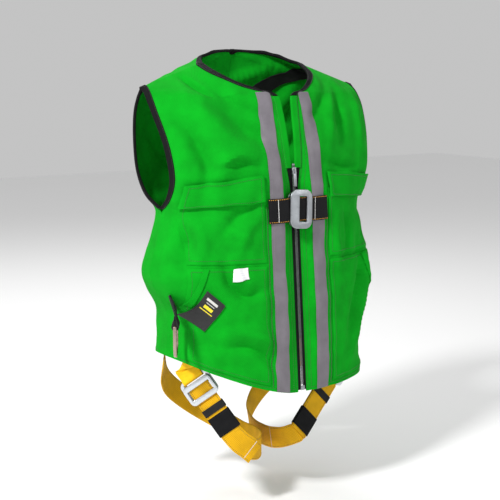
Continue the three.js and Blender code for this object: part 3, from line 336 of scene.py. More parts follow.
# ------------------------------------------------------------------ meshes
def mesh_piece(name, points, faces, material, uv=None, sharp=35):
    """A piece from points in millimetres. uv gives a place on the cloth, in millimetres, per point."""
    data = bpy.data.meshes.new(name)
    data.from_pydata((np.asarray(points, float) * MM).tolist(), [], faces)
    data.validate()
    if uv is not None:
        layer = data.uv_layers.new(name="cloth")
        corner_points = np.zeros(len(data.loops), int)
        data.loops.foreach_get("vertex_index", corner_points)
        layer.data.foreach_set("uv", (np.asarray(uv, float)[corner_points] * MM).ravel())
    data.materials.append(material)
    data.shade_smooth()
    data.set_sharp_from_angle(angle=math.radians(sharp))
    piece = bpy.data.objects.new(name, data)
    scene.collection.objects.link(piece)
    return piece


def face_out(piece):
    """Turns a piece's faces to point out of its volume."""
    edit = bmesh.new()
    edit.from_mesh(piece.data)
    bmesh.ops.recalc_face_normals(edit, faces=edit.faces)
    edit.to_mesh(piece.data)
    edit.free()
    return piece


def slab(name, outer, inner, material, uv=None, wrap=False):
    """A closed body between two grids of points. wrap joins the last column to the first."""
    rows, columns = outer.shape[:2]
    count = rows * columns
    span = columns if wrap else columns - 1

    def at(layer, i, j):
        return layer * count + i * columns + j % columns

    faces = []
    for i in range(rows - 1):
        for j in range(span):
            faces.append((at(0, i, j), at(0, i, j + 1), at(0, i + 1, j + 1), at(0, i + 1, j)))
            faces.append((at(1, i, j), at(1, i + 1, j), at(1, i + 1, j + 1), at(1, i, j + 1)))
        if not wrap:
            end = columns - 1
            faces.append((at(0, i, 0), at(0, i + 1, 0), at(1, i + 1, 0), at(1, i, 0)))
            faces.append((at(0, i, end), at(1, i, end), at(1, i + 1, end), at(0, i + 1, end)))
    for j in range(span):
        end = rows - 1
        faces.append((at(0, 0, j), at(1, 0, j), at(1, 0, j + 1), at(0, 0, j + 1)))
        faces.append((at(0, end, j), at(0, end, j + 1), at(1, end, j + 1), at(1, end, j)))
    points = np.concatenate([outer.reshape(-1, 3), inner.reshape(-1, 3)])
    if uv is None:
        uv = cloth_uv(outer)
    both = np.concatenate([uv.reshape(-1, 2)] * 2)
    return face_out(mesh_piece(name, points, faces, material, both))


def cloth_uv(grid):
    """Lengths along and across a grid of points, which stand for its place on the flat cloth."""
    across = np.linalg.norm(np.diff(grid, axis=1), axis=2)
    u = np.concatenate([np.zeros((grid.shape[0], 1)), np.cumsum(across, axis=1)], axis=1)
    up = np.linalg.norm(np.diff(grid, axis=0), axis=2).mean(axis=1)
    v = np.concatenate([[0], np.cumsum(up)])
    return np.stack([u, np.broadcast_to(v[:, None], u.shape)], axis=-1)


def layer(name, points, normals, lift, thick, material):
    """A sewn-on layer lifted off the face, its top edges eased down."""
    rows, columns = points.shape[:2]
    edge = np.ones((rows, columns))
    edge[0] = edge[-1] = edge[:, 0] = edge[:, -1] = 0.35
    outer = points + normals * (lift + thick * edge)[..., None]
    inner = points + normals * lift
    return slab(name, outer, inner, material, cloth_uv(points))


def sweep(name, at, across, out, section, material, closed=False):
    """Sweeps a closed section of [across, out] points along stations."""
    section = np.asarray(section, float)
    n, count = len(section), len(at)
    ring = at[:, None] + across[:, None] * section[None, :, :1] + out[:, None] * section[None, :, 1:]
    faces = []
    for i in range(count if closed else count - 1):
        k = (i + 1) % count
        for j in range(n):
            m = (j + 1) % n
            faces.append((i * n + j, i * n + m, k * n + m, k * n + j))
    if not closed:
        faces.append(tuple(range(n - 1, -1, -1)))
        faces.append(tuple((count - 1) * n + j for j in range(n)))
    steps = np.linalg.norm(np.diff(at, axis=0), axis=1)
    reach = np.concatenate([[0], np.cumsum(steps)])
    u = np.broadcast_to(section[None, :, 0], (count, n))
    v = np.broadcast_to(reach[:, None], (count, n))
    uv = np.stack([u, v], axis=-1).reshape(-1, 2)
    return face_out(mesh_piece(name, ring.reshape(-1, 3), faces, material, uv))


def web_section(width, thick, columns=11, edge=0.8):
    """Webbing's cross-section: flat, with soft rounded edges."""
    half, deep = width / 2, thick / 2
    xs = np.linspace(-half + edge, half - edge, columns)
    top = [(x, deep) for x in xs]
    right = [(half - edge * 0.3, deep * 0.72), (half, 0), (half - edge * 0.3, -deep * 0.72)]
    return top + right + [(-x, -y) for x, y in top] + [(-x, -y) for x, y in right]


def refined(node, bevel, segments, material, body, slot, sharp=35):
    """A finely rounded copy of a rigid CAD node, which it replaces."""
    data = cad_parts[node].data.copy()
    data.name = node + "_fine"
    data.materials.clear()
    data.materials.append(material)
    piece = bpy.data.objects.new(node + "_fine", data)
    scene.collection.objects.link(piece)
    edit = bmesh.new()
    edit.from_mesh(data)
    bmesh.ops.remove_doubles(edit, verts=edit.verts, dist=0.00001)
    flat = math.radians(1.5)
    bmesh.ops.dissolve_limit(edit, angle_limit=flat, verts=edit.verts, edges=edit.edges, delimit={"NORMAL"})
    edges = [e for e in edit.edges if len(e.link_faces) == 2 and e.calc_face_angle(0) > math.radians(sharp)]
    bmesh.ops.bevel(
        edit, geom=edges, offset=bevel * MM, segments=segments, profile=0.5,
        affect="EDGES", clamp_overlap=True,
    )
    edit.to_mesh(data)
    edit.free()
    data.shade_smooth()
    data.set_sharp_from_angle(angle=math.radians(50))
    settle(piece, body, slot, node)
    return piece


def settle(piece, body, slot, *nodes):
    """Rides a piece on its body and hides the CAD nodes that it replaces. The slot is not used."""
    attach(piece, body)
    if nodes:
        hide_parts(*nodes)
    return piece


# ------------------------------------------------------------------ stitching
def stitches(name, lines, material, body, slot, pitch=3.6, length=2.2, radius=0.46):
    """Thread stitches along lines of (points, normals), each a small rounded bar."""
    points, faces = [], []
    sides = 6
    profile = [(-0.5, 0.45), (-0.3, 1), (0.3, 1), (0.5, 0.45)]
    for line, normals in lines:
        line, normals = np.asarray(line, float), np.asarray(normals, float)
        total = np.linalg.norm(np.diff(line, axis=0), axis=1).sum()
        count = max(int(total / pitch), 2)
        both = resampled(np.hstack([line, normals]), count + 1)
        for a, b in zip(both[:-1], both[1:]):
            middle, along = (a[:3] + b[:3]) / 2, unit(b[:3] - a[:3])
            out = unit((a[3:] + b[3:]) / 2)
            side = unit(np.cross(along, out))
            first = len(points)
            for shift, swell in profile:
                for k in range(sides):
                    turn = 2 * math.pi * k / sides
                    off = side * math.cos(turn) * radius * 1.3 + out * math.sin(turn) * radius
                    points.append(middle + along * shift * length + off * swell)
            for i in range(len(profile) - 1):
                for k in range(sides):
                    m = (k + 1) % sides
                    row, above = first + i * sides, first + (i + 1) * sides
                    faces.append((row + k, row + m, above + m, above + k))
            faces.append(tuple(first + k for k in range(sides - 1, -1, -1)))
            faces.append(tuple(first + (len(profile) - 1) * sides + k for k in range(sides)))
    piece = face_out(mesh_piece(name, points, faces, material, np.zeros((len(points), 2)), 60))
    return settle(piece, body, slot)


# ------------------------------------------------------------------ materials
class Nodes:
    """A material's node tree, with short calls for the nodes that the looks need."""

    def __init__(self, name, color, roughness, metallic=0.0, sheen=0.0):
        self.material = bpy.data.materials.new(name)
        self.material.use_nodes = True
        self.tree = self.material.node_tree
        self.shader = self.tree.nodes["Principled BSDF"]
        self.shader.inputs["Base Color"].default_value = (*color, 1)
        self.shader.inputs["Roughness"].default_value = roughness
        self.shader.inputs["Metallic"].default_value = metallic
        self.shader.inputs["Sheen Weight"].default_value = sheen

    def add(self, kind, **settings):
        node = self.tree.nodes.new(kind)
        for key, value in settings.items():
            setattr(node, key, value)
        return node

    def link(self, source, target):
        self.tree.links.new(source, target)

    def math(self, operation, a, b=None):
        node = self.add("ShaderNodeMath", operation=operation)
        for socket, value in zip(node.inputs, (a, b)):
            if value is None:
                continue
            if isinstance(value, (int, float)):
                socket.default_value = value
            else:
                self.link(value, socket)
        return node.outputs[0]

    def cloth(self):
        """Across and along the cloth, in metres."""
        split = self.add("ShaderNodeSeparateXYZ")
        self.link(self.add("ShaderNodeUVMap", uv_map="cloth").outputs[0], split.inputs[0])
        return split.outputs[0], split.outputs[1]

    def place(self):
        split = self.add("ShaderNodeSeparateXYZ")
        self.link(self.add("ShaderNodeTexCoord").outputs["Object"], split.inputs[0])
        return split.outputs

    def wave(self, value, period):
        """A sine of a length in metres, from 0 to 1."""
        turned = self.math("MULTIPLY", value, 2 * math.pi / period)
        node = self.add("ShaderNodeMath", operation="MULTIPLY_ADD")
        self.link(self.math("SINE", turned), node.inputs[0])
        node.inputs[1].default_value = 0.5
        node.inputs[2].default_value = 0.5
        return node.outputs[0]

    def noise(self, scale, detail=3.0, roughness=0.5):
        node = self.add("ShaderNodeTexNoise")
        self.link(self.add("ShaderNodeTexCoord").outputs["Object"], node.inputs["Vector"])
        node.inputs["Scale"].default_value = scale
        node.inputs["Detail"].default_value = detail
        node.inputs["Roughness"].default_value = roughness
        return node.outputs["Fac"]

    def ramp(self, value, stops):
        """Colours by value: stops are (place, colour)."""
        node = self.add("ShaderNodeValToRGB")
        self.link(value, node.inputs[0])
        elements = node.color_ramp.elements
        while len(elements) < len(stops):
            elements.new(0.5)
        for element, (place, color) in zip(elements, stops):
            element.position = place
            element.color = (*color, 1)
        return node.outputs[0]

    def mixed(self, factor, a, b, blend="MIX"):
        node = self.add("ShaderNodeMix", data_type="RGBA", blend_type=blend)
        for socket, value in ((node.inputs[0], factor), (node.inputs[6], a), (node.inputs[7], b)):
            if isinstance(value, (int, float)):
                socket.default_value = value
            elif isinstance(value, tuple):
                socket.default_value = (*value, 1)
            else:
                self.link(value, socket)
        return node.outputs[2]

    def paint(self, color):
        self.link(color, self.shader.inputs["Base Color"])

    def bump(self, height, strength, distance, after=None):
        node = self.add("ShaderNodeBump")
        self.link(height, node.inputs["Height"])
        node.inputs["Strength"].default_value = strength
        node.inputs["Distance"].default_value = distance
        if after is not None:
            self.link(after, node.inputs["Normal"])
        return node.outputs[0]

    def done(self, normal=None):
        if normal is not None:
            self.link(normal, self.shader.inputs["Normal"])
        return self.material


def shade(color, factor):
    return tuple(c * factor for c in color)


def mesh_cloth(name, color):
    """Diagonal knit: two crossing rows of small dents, with a soft mottle."""
    m = Nodes(name, color, 0.95)
    m.shader.inputs["Specular IOR Level"].default_value = 0.12
    across, along = m.cloth()
    one = m.wave(m.math("ADD", across, along), 0.003)
    other = m.wave(m.math("SUBTRACT", across, along), 0.003)
    weave = m.math("MULTIPLY", one, other)
    mottle = m.ramp(m.noise(26, 4), [(0.3, shade(color, 0.86)), (0.7, shade(color, 1.1))])
    holes = m.ramp(weave, [(0.0, (0.62, 0.62, 0.62)), (0.35, (1, 1, 1))])
    m.paint(m.mixed(0.8, mottle, holes, "MULTIPLY"))
    crumple = m.bump(m.noise(70, 4, 0.55), 0.25, 0.002)
    return m.done(m.bump(weave, 0.5, 0.0005, crumple))


def ribbed(name, color, period, roughness=0.8, along_only=True):
    """Woven tape with fine ribs across it."""
    m = Nodes(name, color, roughness)
    m.shader.inputs["Specular IOR Level"].default_value = 0.15
    across, along = m.cloth()
    rib = m.wave(along, period)
    grain = m.wave(across, period * 0.7)
    weave = rib if along_only else m.math("MULTIPLY", rib, grain)
    tone = m.ramp(m.noise(60, 4), [(0.3, shade(color, 0.8)), (0.75, shade(color, 1.25))])
    m.paint(m.mixed(0.5, tone, m.ramp(weave, [(0, (0.6, 0.6, 0.6)), (0.6, (1, 1, 1))]), "MULTIPLY"))
    return m.done(m.bump(weave, 0.6, 0.0005))


def webbing(name, color, low=0.62):
    """Harness webbing: crosswise ribs broken by lengthwise cords, a little soiled."""
    m = Nodes(name, color, 0.7)
    m.shader.inputs["Specular IOR Level"].default_value = 0.2
    across, along = m.cloth()
    rib = m.wave(along, 0.0026)
    cords = m.wave(across, 0.0031)
    weave = m.math("MULTIPLY", rib, m.math("POWER", cords, 0.4))
    tone = m.ramp(m.noise(34, 5), [(0.28, shade(color, 0.82)), (0.7, shade(color, 1.12))])
    m.paint(m.mixed(0.75, tone, m.ramp(weave, [(0, (low, low, low)), (0.5, (1, 1, 1))]), "MULTIPLY"))
    return m.done(m.bump(weave, 0.7, 0.0006))


def plain_web(name, color):
    """Webbing that carries no cloth map: its weave follows the object's own axes."""
    m = Nodes(name, color, 0.7)
    m.shader.inputs["Specular IOR Level"].default_value = 0.2
    x, y, z = m.place()
    rib = m.math("MULTIPLY", m.wave(z, 0.0026), m.wave(m.math("ADD", x, y), 0.0026))
    m.paint(m.ramp(m.noise(40, 4), [(0.3, shade(color, 0.8)), (0.72, shade(color, 1.15))]))
    return m.done(m.bump(rib, 0.6, 0.0005))


def reflective(name, color):
    """Glass-bead tape: a fine grain with soft, slightly darker patches."""
    m = Nodes(name, color, 0.45, metallic=0.1)
    tone = m.ramp(m.noise(30, 5, 0.6), [(0.3, shade(color, 0.84)), (0.7, shade(color, 1.12))])
    m.paint(tone)
    soft = m.bump(m.noise(45, 3), 0.2, 0.002)
    return m.done(m.bump(m.noise(2200, 2), 0.25, 0.0002, soft))


def metal(name, color, roughness, wear=0.12):
    """Plated steel, with a cloudy plating and fine scratches."""
    m = Nodes(name, color, roughness, metallic=1.0)
    m.paint(m.ramp(m.noise(60, 3, 0.5), [(0.3, shade(color, 1 - wear)), (0.65, shade(color, 1.04))]))
    rough = m.ramp(m.noise(240, 4), [(0.3, (roughness * 0.75,) * 3), (0.7, (roughness * 1.3,) * 3)])
    m.link(rough, m.shader.inputs["Roughness"])
    return m.done(m.bump(m.noise(900, 3), 0.04, 0.0002))


def moulded(name, color, roughness=0.5):
    m = Nodes(name, color, roughness)
    m.paint(m.ramp(m.noise(150, 4), [(0.3, shade(color, 0.8)), (0.7, shade(color, 1.3))]))
    return m.done(m.bump(m.noise(700, 3), 0.15, 0.0003))


def thread(name, color):
    m = Nodes(name, color, 0.6, sheen=0.2)
    m.paint(m.ramp(m.noise(900, 2), [(0.3, shade(color, 0.75)), (0.7, shade(color, 1.15))]))
    return m.done(m.bump(m.noise(3000, 2), 0.3, 0.0002))


GREEN = (0.001, 0.38, 0.012)
looks = {
    "mesh": mesh_cloth("green_mesh", GREEN),
    "binding": ribbed("black_binding", (0.005, 0.0045, 0.0055), 0.0016),
    "tape": reflective("reflective_tape", (0.165, 0.15, 0.17)),
    "black": webbing("black_webbing", (0.006, 0.006, 0.007), 0.45),
    "inner": plain_web("lining_webbing", (0.018, 0.018, 0.02)),
    "elastic": ribbed("dark_elastic", (0.02, 0.02, 0.021), 0.0013),
    "band": ribbed("black_band", (0.008, 0.008, 0.009), 0.0012, along_only=False),
    "zip": ribbed("zip_tape", (0.005, 0.005, 0.006), 0.0012),
    "teeth": moulded("zip_teeth", (0.11, 0.11, 0.115), 0.35),
    "yellow": webbing("yellow_webbing", (0.82, 0.44, 0.004)),
    "steel": metal("zinc_steel", (0.36, 0.38, 0.4), 0.36, 0.1),
    "bright": metal("bright_steel", (0.6, 0.63, 0.66), 0.28, 0.05),
    "ring": metal("ring_steel", (0.42, 0.31, 0.27), 0.3, 0.08),
    "rubber": moulded("rubber_plate", (0.02, 0.02, 0.022), 0.55),
    "green_thread": thread("green_thread", shade(GREEN, 0.3)),
    "black_thread": thread("black_thread", (0.012, 0.012, 0.013)),
    "orange_thread": thread("orange_thread", (0.8, 0.36, 0.02)),
    "white_thread": thread("white_thread", (0.75, 0.74, 0.72)),
    "grey_thread": thread("grey_thread", (0.2, 0.19, 0.2)),
}


# ------------------------------------------------------------------ camera, light and floor
PHOTO_AZIMUTH, PHOTO_ELEVATION = math.radians(-34), math.radians(9)
CAMERA_DISTANCE = 2.4
LOOK_AT = Vector((0, 0.003, -0.326))


def place_camera():
    data = bpy.data.cameras.new("camera")
    data.lens = 88.6
    data.sensor_width = 36
    camera = bpy.data.objects.new("camera", data)
    level = math.cos(PHOTO_ELEVATION)
    back = Vector((
        math.sin(PHOTO_AZIMUTH) * level,
        -math.cos(PHOTO_AZIMUTH) * level,
        math.sin(PHOTO_ELEVATION),
    ))
    camera.location = LOOK_AT + back * CAMERA_DISTANCE
    camera.rotation_euler = back.to_track_quat("Z", "Y").to_euler()
    scene.collection.objects.link(camera)
    scene.camera = camera


def area_light(name, place, size, power, color=(1, 1, 1)):
    data = bpy.data.lights.new(name, "AREA")
    data.shape = "DISK"
    data.size = size
    data.energy = power
    data.color = color
    light = bpy.data.objects.new(name, data)
    light.location = place
    aim = Vector(place) - LOOK_AT
    light.rotation_euler = aim.to_track_quat("Z", "Y").to_euler()
    scene.collection.objects.link(light)


def studio():
    world = bpy.data.worlds.new("studio")
    world.use_nodes = True
    background = world.node_tree.nodes["Background"]
    background.inputs["Color"].default_value = (1, 1, 1, 1)
    background.inputs["Strength"].default_value = 0.55
    scene.world = world
    scene.view_settings.view_transform = "Standard"
    area_light("key", (-2.3, -0.9, 1.8), 0.5, 105)
    area_light("fill", (1.4, -2.2, 0.5), 1.2, 9)
    area_light("back", (0.6, 2.0, 1.6), 1.2, 26)
    floor = Nodes("floor", (0.9, 0.9, 0.9), 0.7)
    size, drop = 6000, -790
    corners = [(-size, -size, drop), (size, -size, drop), (size, size, drop), (-size, size, drop)]
    mesh_piece("floor", corners, [(0, 1, 2, 3)], floor.done())


# ------------------------------------------------------------------ fabric panels
PANEL_ROWS = np.linspace(0, TOP, 166)
PANEL_COLUMNS = 84


def panel_grid(levels, side):
    share = np.linspace(0, 1, PANEL_COLUMNS)[None, :]
    v = np.broadcast_to(PANEL_ROWS[:, None], (len(PANEL_ROWS), PANEL_COLUMNS))
    x = lerp(inner_x(levels, v), outer_x(levels, v), share)
    return places(levels, side, x, v)


def front_panels():
    for name, side in SIDES.items():
        points, normals = panel_grid(FRONT, side)
        uv = cloth_uv(points)
        panel = slab(f"front_panel_{name}", points, points - normals * FABRIC, looks["mesh"], uv)
        settle(panel, "vest", "mesh", f"vest_front_{name}")


def back_panel():
    """One cloth: its two halves share the centre column below the neckline."""
    halves = {name: panel_grid(BACK, side) for name, side in SIDES.items()}
    neck_row = int(np.searchsorted(PANEL_ROWS, BACK_NECK))
    points, normals, uv, index = [], [], [], {}
    for name in ("right", "left"):
        grid, lean = halves[name]
        cloth = cloth_uv(grid)
        for i in range(grid.shape[0]):
            for j in range(grid.shape[1]):
                shared = j == 0 and i <= neck_row
                if shared and name == "left":
                    index[name, i, j] = index["right", i, j]
                    continue
                index[name, i, j] = len(points)
                points.append(grid[i, j] * ([0, 1, 1] if shared else [1, 1, 1]))
                normals.append(unit(lean[i, j] * ([0, 1, 1] if shared else [1, 1, 1])))
                uv.append(cloth[i, j] * [SIDES[name], 1])
    faces = []
    for name in SIDES:
        for i in range(len(PANEL_ROWS) - 1):
            for j in range(PANEL_COLUMNS - 1):
                around = ((i, j), (i, j + 1), (i + 1, j + 1), (i + 1, j))
                quad = [index[name, row, column] for row, column in around]
                faces.append(tuple(quad if name == "left" else quad[::-1]))
    count = len(points)
    edges = {(f[k], f[(k + 1) % 4]) for f in faces for k in range(4)}
    inner = [tuple(count + k for k in reversed(f)) for f in faces]
    walls = [(b, a, count + a, count + b) for a, b in edges if (b, a) not in edges]
    points = np.array(points)
    under = points - np.array(normals) * FABRIC
    panel = mesh_piece("back_panel", np.vstack([points, under]), faces + inner + walls, looks["mesh"], uv * 2)
    face_out(panel)
    settle(panel, "vest", "mesh", "vest_back")


def reflective_tapes():
    ease = np.linspace(0, 1, 7)
    for name, side in SIDES.items():
        for part, levels, top in (("front", FRONT, 11.4), ("back", BACK, 12)):
            v = np.linspace(0.02, top, 150)[:, None] * np.ones((1, 7))
            x = (TAPE_X - TAPE_WIDTH / 2 + TAPE_WIDTH * ease)[None, :] * np.ones((150, 1))
            x = np.maximum(x, inner_x(levels, v) + 1 + 20 * ease[None, :])
            points, normals = places(levels, side, x, v)
            tape = layer(f"tape_{part}_{name}", points, normals, SEWN_GAP, TAPE_THICK, looks["tape"])
            settle(tape, "vest", "tape", f"reflective_tape_{part}_{name}")
            top_lift = SEWN_GAP + TAPE_THICK * 0.9
            rows = [(points[:, j] + normals[:, j] * top_lift, normals[:, j]) for j in (1, 5)]
            stitches(f"tape_stitching_{part}_{name}", rows, looks["grey_thread"], "vest", "tape", radius=0.26)


# ------------------------------------------------------------------ pockets and flaps
def pocket_grid(side, low, high, rows, columns=44):
    v = np.linspace(low, high, rows)[:, None] * np.ones((1, columns))
    x = pocket_x(v, np.linspace(0, 1, columns)[None, :])
    return places(FRONT, side, x, v)


def inset_line(points, normals, lift, inset=4, foot=True, top=False):
    """A stitch line round a grid, a few columns or rows in from its edges."""
    rows = range(inset, points.shape[0] - inset)
    path = [(i, inset) for i in reversed(rows)] if foot else []
    path += [(inset, j) for j in range(inset, points.shape[1] - inset)] if foot else []
    path += [(i, points.shape[1] - 1 - inset) for i in rows] if foot else []
    if top:
        path += [(points.shape[0] - 1 - inset, j) for j in reversed(range(inset, points.shape[1] - inset))]
    line = np.array([points[i, j] + normals[i, j] * lift for i, j in path])
    lean = np.array([normals[i, j] for i, j in path])
    return line, lean


def pockets():
    for name, side in SIDES.items():
        for part, low, high, rows in (("chest_pocket", 4.4, 7, 46), ("lower_pocket", 0.25, 4.3, 80)):
            points, normals = pocket_grid(side, low, high, rows)
            piece = layer(f"{part}_cloth_{name}", points, normals, SEWN_GAP, POCKET_THICK, looks["mesh"])
            settle(piece, "vest", "mesh", f"{part}_{name}")
            line = inset_line(points, normals, SEWN_GAP + POCKET_THICK + 0.1, 2, top=part == "lower_pocket")
            stitches(f"{part}_stitching_{name}", [line], looks["green_thread"], "vest", "mesh")


def flaps():
    """A flap lies on its pocket, its free edge standing a little away."""
    for name, side in SIDES.items():
        points, normals = pocket_grid(side, 6.5, 7.7, 30, 60)
        rows = np.linspace(0, 1, 30)[:, None]
        lift = ON_POCKET + 0.6 + 1.6 * (1 - rows) ** 2 * np.ones((1, 60))
        edge = np.ones((30, 60))
        edge[0] = edge[:, 0] = edge[:, -1] = 0.45
        outer = points + normals * (lift + FLAP_THICK * edge)[..., None]
        inner = points + normals * lift[..., None]
        flap = slab(f"flap_cloth_{name}", outer, inner, looks["mesh"], cloth_uv(points))
        settle(flap, f"flap_{name}", "mesh", f"pocket_flap_{name}")
        top = outer + normals * 0.15
        line = inset_line(top, normals, 0, 3, top=True)
        stitches(f"flap_stitching_{name}", [line], looks["green_thread"], f"flap_{name}", "mesh")


def seams():
    """Topstitched hems, plackets and the long seam beside each pocket."""
    for name, side in SIDES.items():
        lines = []
        x = np.linspace(PLACKET_EDGE + 2, HALF_HEM - 3, 70)
        points, normals = places(FRONT, side, x, np.full(70, HEM_STITCH))
        lines.append((points + normals * ON_CLOTH, normals))
        for off in (3.5, 10.5):
            v = np.linspace(0.2, 11, 150)
            points, normals = places(FRONT, side, inner_x(FRONT, v) + off, v)
            lines.append((points + normals * ON_CLOTH, normals))
        v = np.linspace(0.2, 6.2, 120)
        points, normals = places(FRONT, side, np.full(120, POCKET_IN_X - 5), v)
        seam = [(points + normals * 0.25, normals)]
        stitches(f"front_stitching_{name}", lines, looks["green_thread"], "vest", "mesh")
        stitches(f"front_seam_{name}", seam, looks["green_thread"], "vest", "mesh", 3.6, 3.5, 0.8)
    lines = []
    for side in (-1, 1):
        x = np.linspace(0, HALF_HEM - 3, 70)
        points, normals = places(BACK, side, x, np.full(70, HEM_STITCH))
        lines.append((points + normals * ON_CLOTH, normals))
    stitches("back_stitching", lines, looks["green_thread"], "vest", "mesh")


# ------------------------------------------------------------------ bindings
def edge_run(levels, side, outer, low, high, count):
    """Binding stations just outside an edge of a panel."""
    v = np.linspace(low, high, count)
    edge = outer_x(levels, v) if outer else inner_x(levels, v)
    points, normals = places(levels, side, edge, v)
    inside = places(levels, side, edge + (-4 if outer else 4), v)[0]
    away = points - inside
    away = unit(away - normals * (away * normals).sum(axis=1, keepdims=True))
    off = 0.35 + BIND_WIDTH / 2
    return points + away * off - normals * FABRIC / 2, away, normals


def joined(runs):
    """Runs of stations put end to end."""
    at, across, out = (np.concatenate([run[k] for run in runs]) for k in range(3))
    return at, unit(across), unit(out)


def relax(values, rounds, closed):
    values = values.copy()
    for _ in range(rounds):
        if closed:
            values = (np.roll(values, 1, 0) + 2 * values + np.roll(values, -1, 0)) / 4
        else:
            values[1:-1] = (values[:-2] + 2 * values[1:-1] + values[2:]) / 4
    return values


def binding_piece(name, runs, closed, node, look="binding", slot="binding"):
    at, across, out = joined(runs)
    at, across, out = (relax(part, 5, closed) for part in (at, across, out))
    out = unit(out)
    across = unit(across - out * (across * out).sum(axis=1, keepdims=True))
    width = BIND_WIDTH + BIND_LAP
    at = at - across * BIND_LAP / 2
    piece = sweep(name, at, across, out, web_section(width, BIND_THICK, 9, 2.2), looks[look], closed)
    settle(piece, "vest", slot, node)
    line = at - across * (width / 2 - 2) + out * (BIND_THICK / 2 + 0.05)
    thread_look = "black_thread" if slot == "binding" else "green_thread"
    stitches(name + "_stitching", [(line, out)], looks[thread_look], "vest", slot, radius=0.3)


def backwards(run):
    return tuple(part[::-1] for part in run)


def bindings():
    neck = []
    for side in (-1, 1):
        front = edge_run(FRONT, side, False, COLLAR_FOOT, TOP - 0.04, 120)
        back = edge_run(BACK, side, False, BACK_NECK + 0.02, TOP - 0.04, 50)
        half = [front, backwards(back)]
        neck += half if side < 0 else [backwards(run) for run in reversed(half)]
    binding_piece("neck_binding_fine", neck, False, "neck_binding")
    for name, side in SIDES.items():
        facing = [edge_run(FRONT, side, False, V_FOOT, COLLAR_FOOT - 0.05, 70)]
        binding_piece(f"placket_edge_{name}", facing, False, "neck_binding", "mesh", "mesh")
    for name, side in SIDES.items():
        front = edge_run(FRONT, side, True, SIDE_TOP + 0.25, TOP - 0.05, 120)
        back = edge_run(BACK, side, True, SIDE_TOP + 0.25, TOP - 0.05, 120)
        runs = [front, backwards(back)]
        binding_piece(f"armhole_binding_fine_{name}", runs, True, f"armhole_binding_{name}")


# ------------------------------------------------------------------ zip
ZIP_DOWN = unit([0, ZIP_FOOT_Y - ZIP_TOP_Y, HEM_Z - ZIP_TOP_Z])
ZIP_OUT = unit(-np.cross([1, 0, 0], ZIP_DOWN))
ZIP_LENGTH = (ZIP_TOP_Z - HEM_Z) / -ZIP_DOWN[2]
BELT_DOWN = (ZIP_TOP_Z - BELT_Z) / -ZIP_DOWN[2]


def zip_point(down, ahead, x=0.0):
    return np.array([x, ZIP_TOP_Y, ZIP_TOP_Z]) + ZIP_DOWN * down + ZIP_OUT * ahead


def tooth(centre, width, height, depth):
    """A moulded tooth that narrows at its tip: eight points a ring, three rings."""
    points = []
    for ahead, swell in ((0, 1), (0.7, 1), (1, 0.7)):
        for k in range(8):
            turn = 2 * math.pi * (k + 0.5) / 8
            x = width / 2 * math.cos(turn) * swell
            y = height / 2 * math.sin(turn) * swell
            points.append(centre + np.array([x, 0, 0]) + ZIP_DOWN * y + ZIP_OUT * depth * ahead)
    faces = [tuple(range(7, -1, -1)), tuple(range(16, 24))]
    for i in range(2):
        for k in range(8):
            m = (k + 1) % 8
            faces.append((i * 8 + k, i * 8 + m, i * 8 + 8 + m, i * 8 + 8 + k))
    return points, faces


def zip_fastener():
    for name, side in SIDES.items():
        v = np.linspace(0.1, V_FOOT, 110)
        inner = inner_x(FRONT, v)
        points, _ = places(FRONT, side, inner, v)
        strip = np.stack([
            np.stack([side * lerp(2.7, np.abs(points[:, 0]) - 0.3, t), points[:, 1], points[:, 2]], axis=1)
            for t in np.linspace(0, 1, 6)
        ], axis=1)
        tape = slab(f"zip_tape_{name}", strip - ZIP_OUT * 0.2, strip - ZIP_OUT * 1.6, looks["zip"])
        settle(tape, "vest", "zip", f"zipper_tape_{name}")
        points, faces = [], []
        down = 5.5 + (TOOTH_PITCH / 2 if side > 0 else 0)
        while down < ZIP_LENGTH - 13:
            teeth, around = tooth(zip_point(down, -1.2, side * 1.35), 3.4, 1.9, 2.6)
            faces += [tuple(len(points) + k for k in f) for f in around]
            points += teeth
            down += TOOTH_PITCH
        chain = mesh_piece(f"zip_teeth_{name}", points, faces, looks["teeth"], np.zeros((len(points), 2)), 40)
        settle(face_out(chain), "vest", "zip", f"zipper_chain_{name}")
        refined(f"zipper_stop_{name}", 0.4, 2, looks["steel"], "vest", "steel")
    refined("zipper_box", 0.5, 3, looks["steel"], "vest", "steel")
    refined("zipper_slider", 0.45, 3, looks["steel"], "zip_slider", "steel")
    refined("zipper_pull", 0.35, 3, looks["steel"], "zip_pull", "steel")


# ------------------------------------------------------------------ webbing
def framed(line, facing):
    """Stations along a line: across and outward directions from a wanted facing."""
    along = unit(np.gradient(line, axis=0))
    out = unit(facing - along * (facing * along).sum(axis=1, keepdims=True))
    return line, unit(np.cross(along, out)), out


def strap(name, line, facing, width, material, body, slot, *nodes, thick=WEB_THICK):
    at, across, out = framed(line, facing)
    piece = sweep(name, at, across, out, web_section(width, thick), material)
    settle(piece, body, slot, *nodes)
    return at, across, out


def edge_stitches(name, stations, width, lift, material, body, slot, inset=3.2, sides=(-1, 1), pitch=3.6):
    at, across, out = stations
    lines = [(at + across * (s * (width / 2 - inset)) + out * lift, out) for s in sides]
    stitches(name, lines, material, body, slot, pitch=pitch, length=2.2, radius=0.36)


def tack_row(name, stations, where, width, lift, material, body, slot, zigzag=1.4):
    """A row of zigzag tacking right across a strap, at a share of its length."""
    at, across, out = stations
    k = int(where * (len(at) - 1))
    along = unit(at[min(k + 1, len(at) - 1)] - at[max(k - 1, 0)])
    count = int(width / 1.6)
    steps = np.linspace(-width / 2 + 2, width / 2 - 2, count)
    wave = np.where(np.arange(count) % 2, zigzag / 2, -zigzag / 2)
    line = at[k] + across[k] * steps[:, None] + along * wave[:, None] + out[k] * lift
    facing = np.tile(out[k], (count, 1))
    stitches(name, [(line, facing)], material, body, slot, pitch=1.7, length=1.9, radius=0.4)


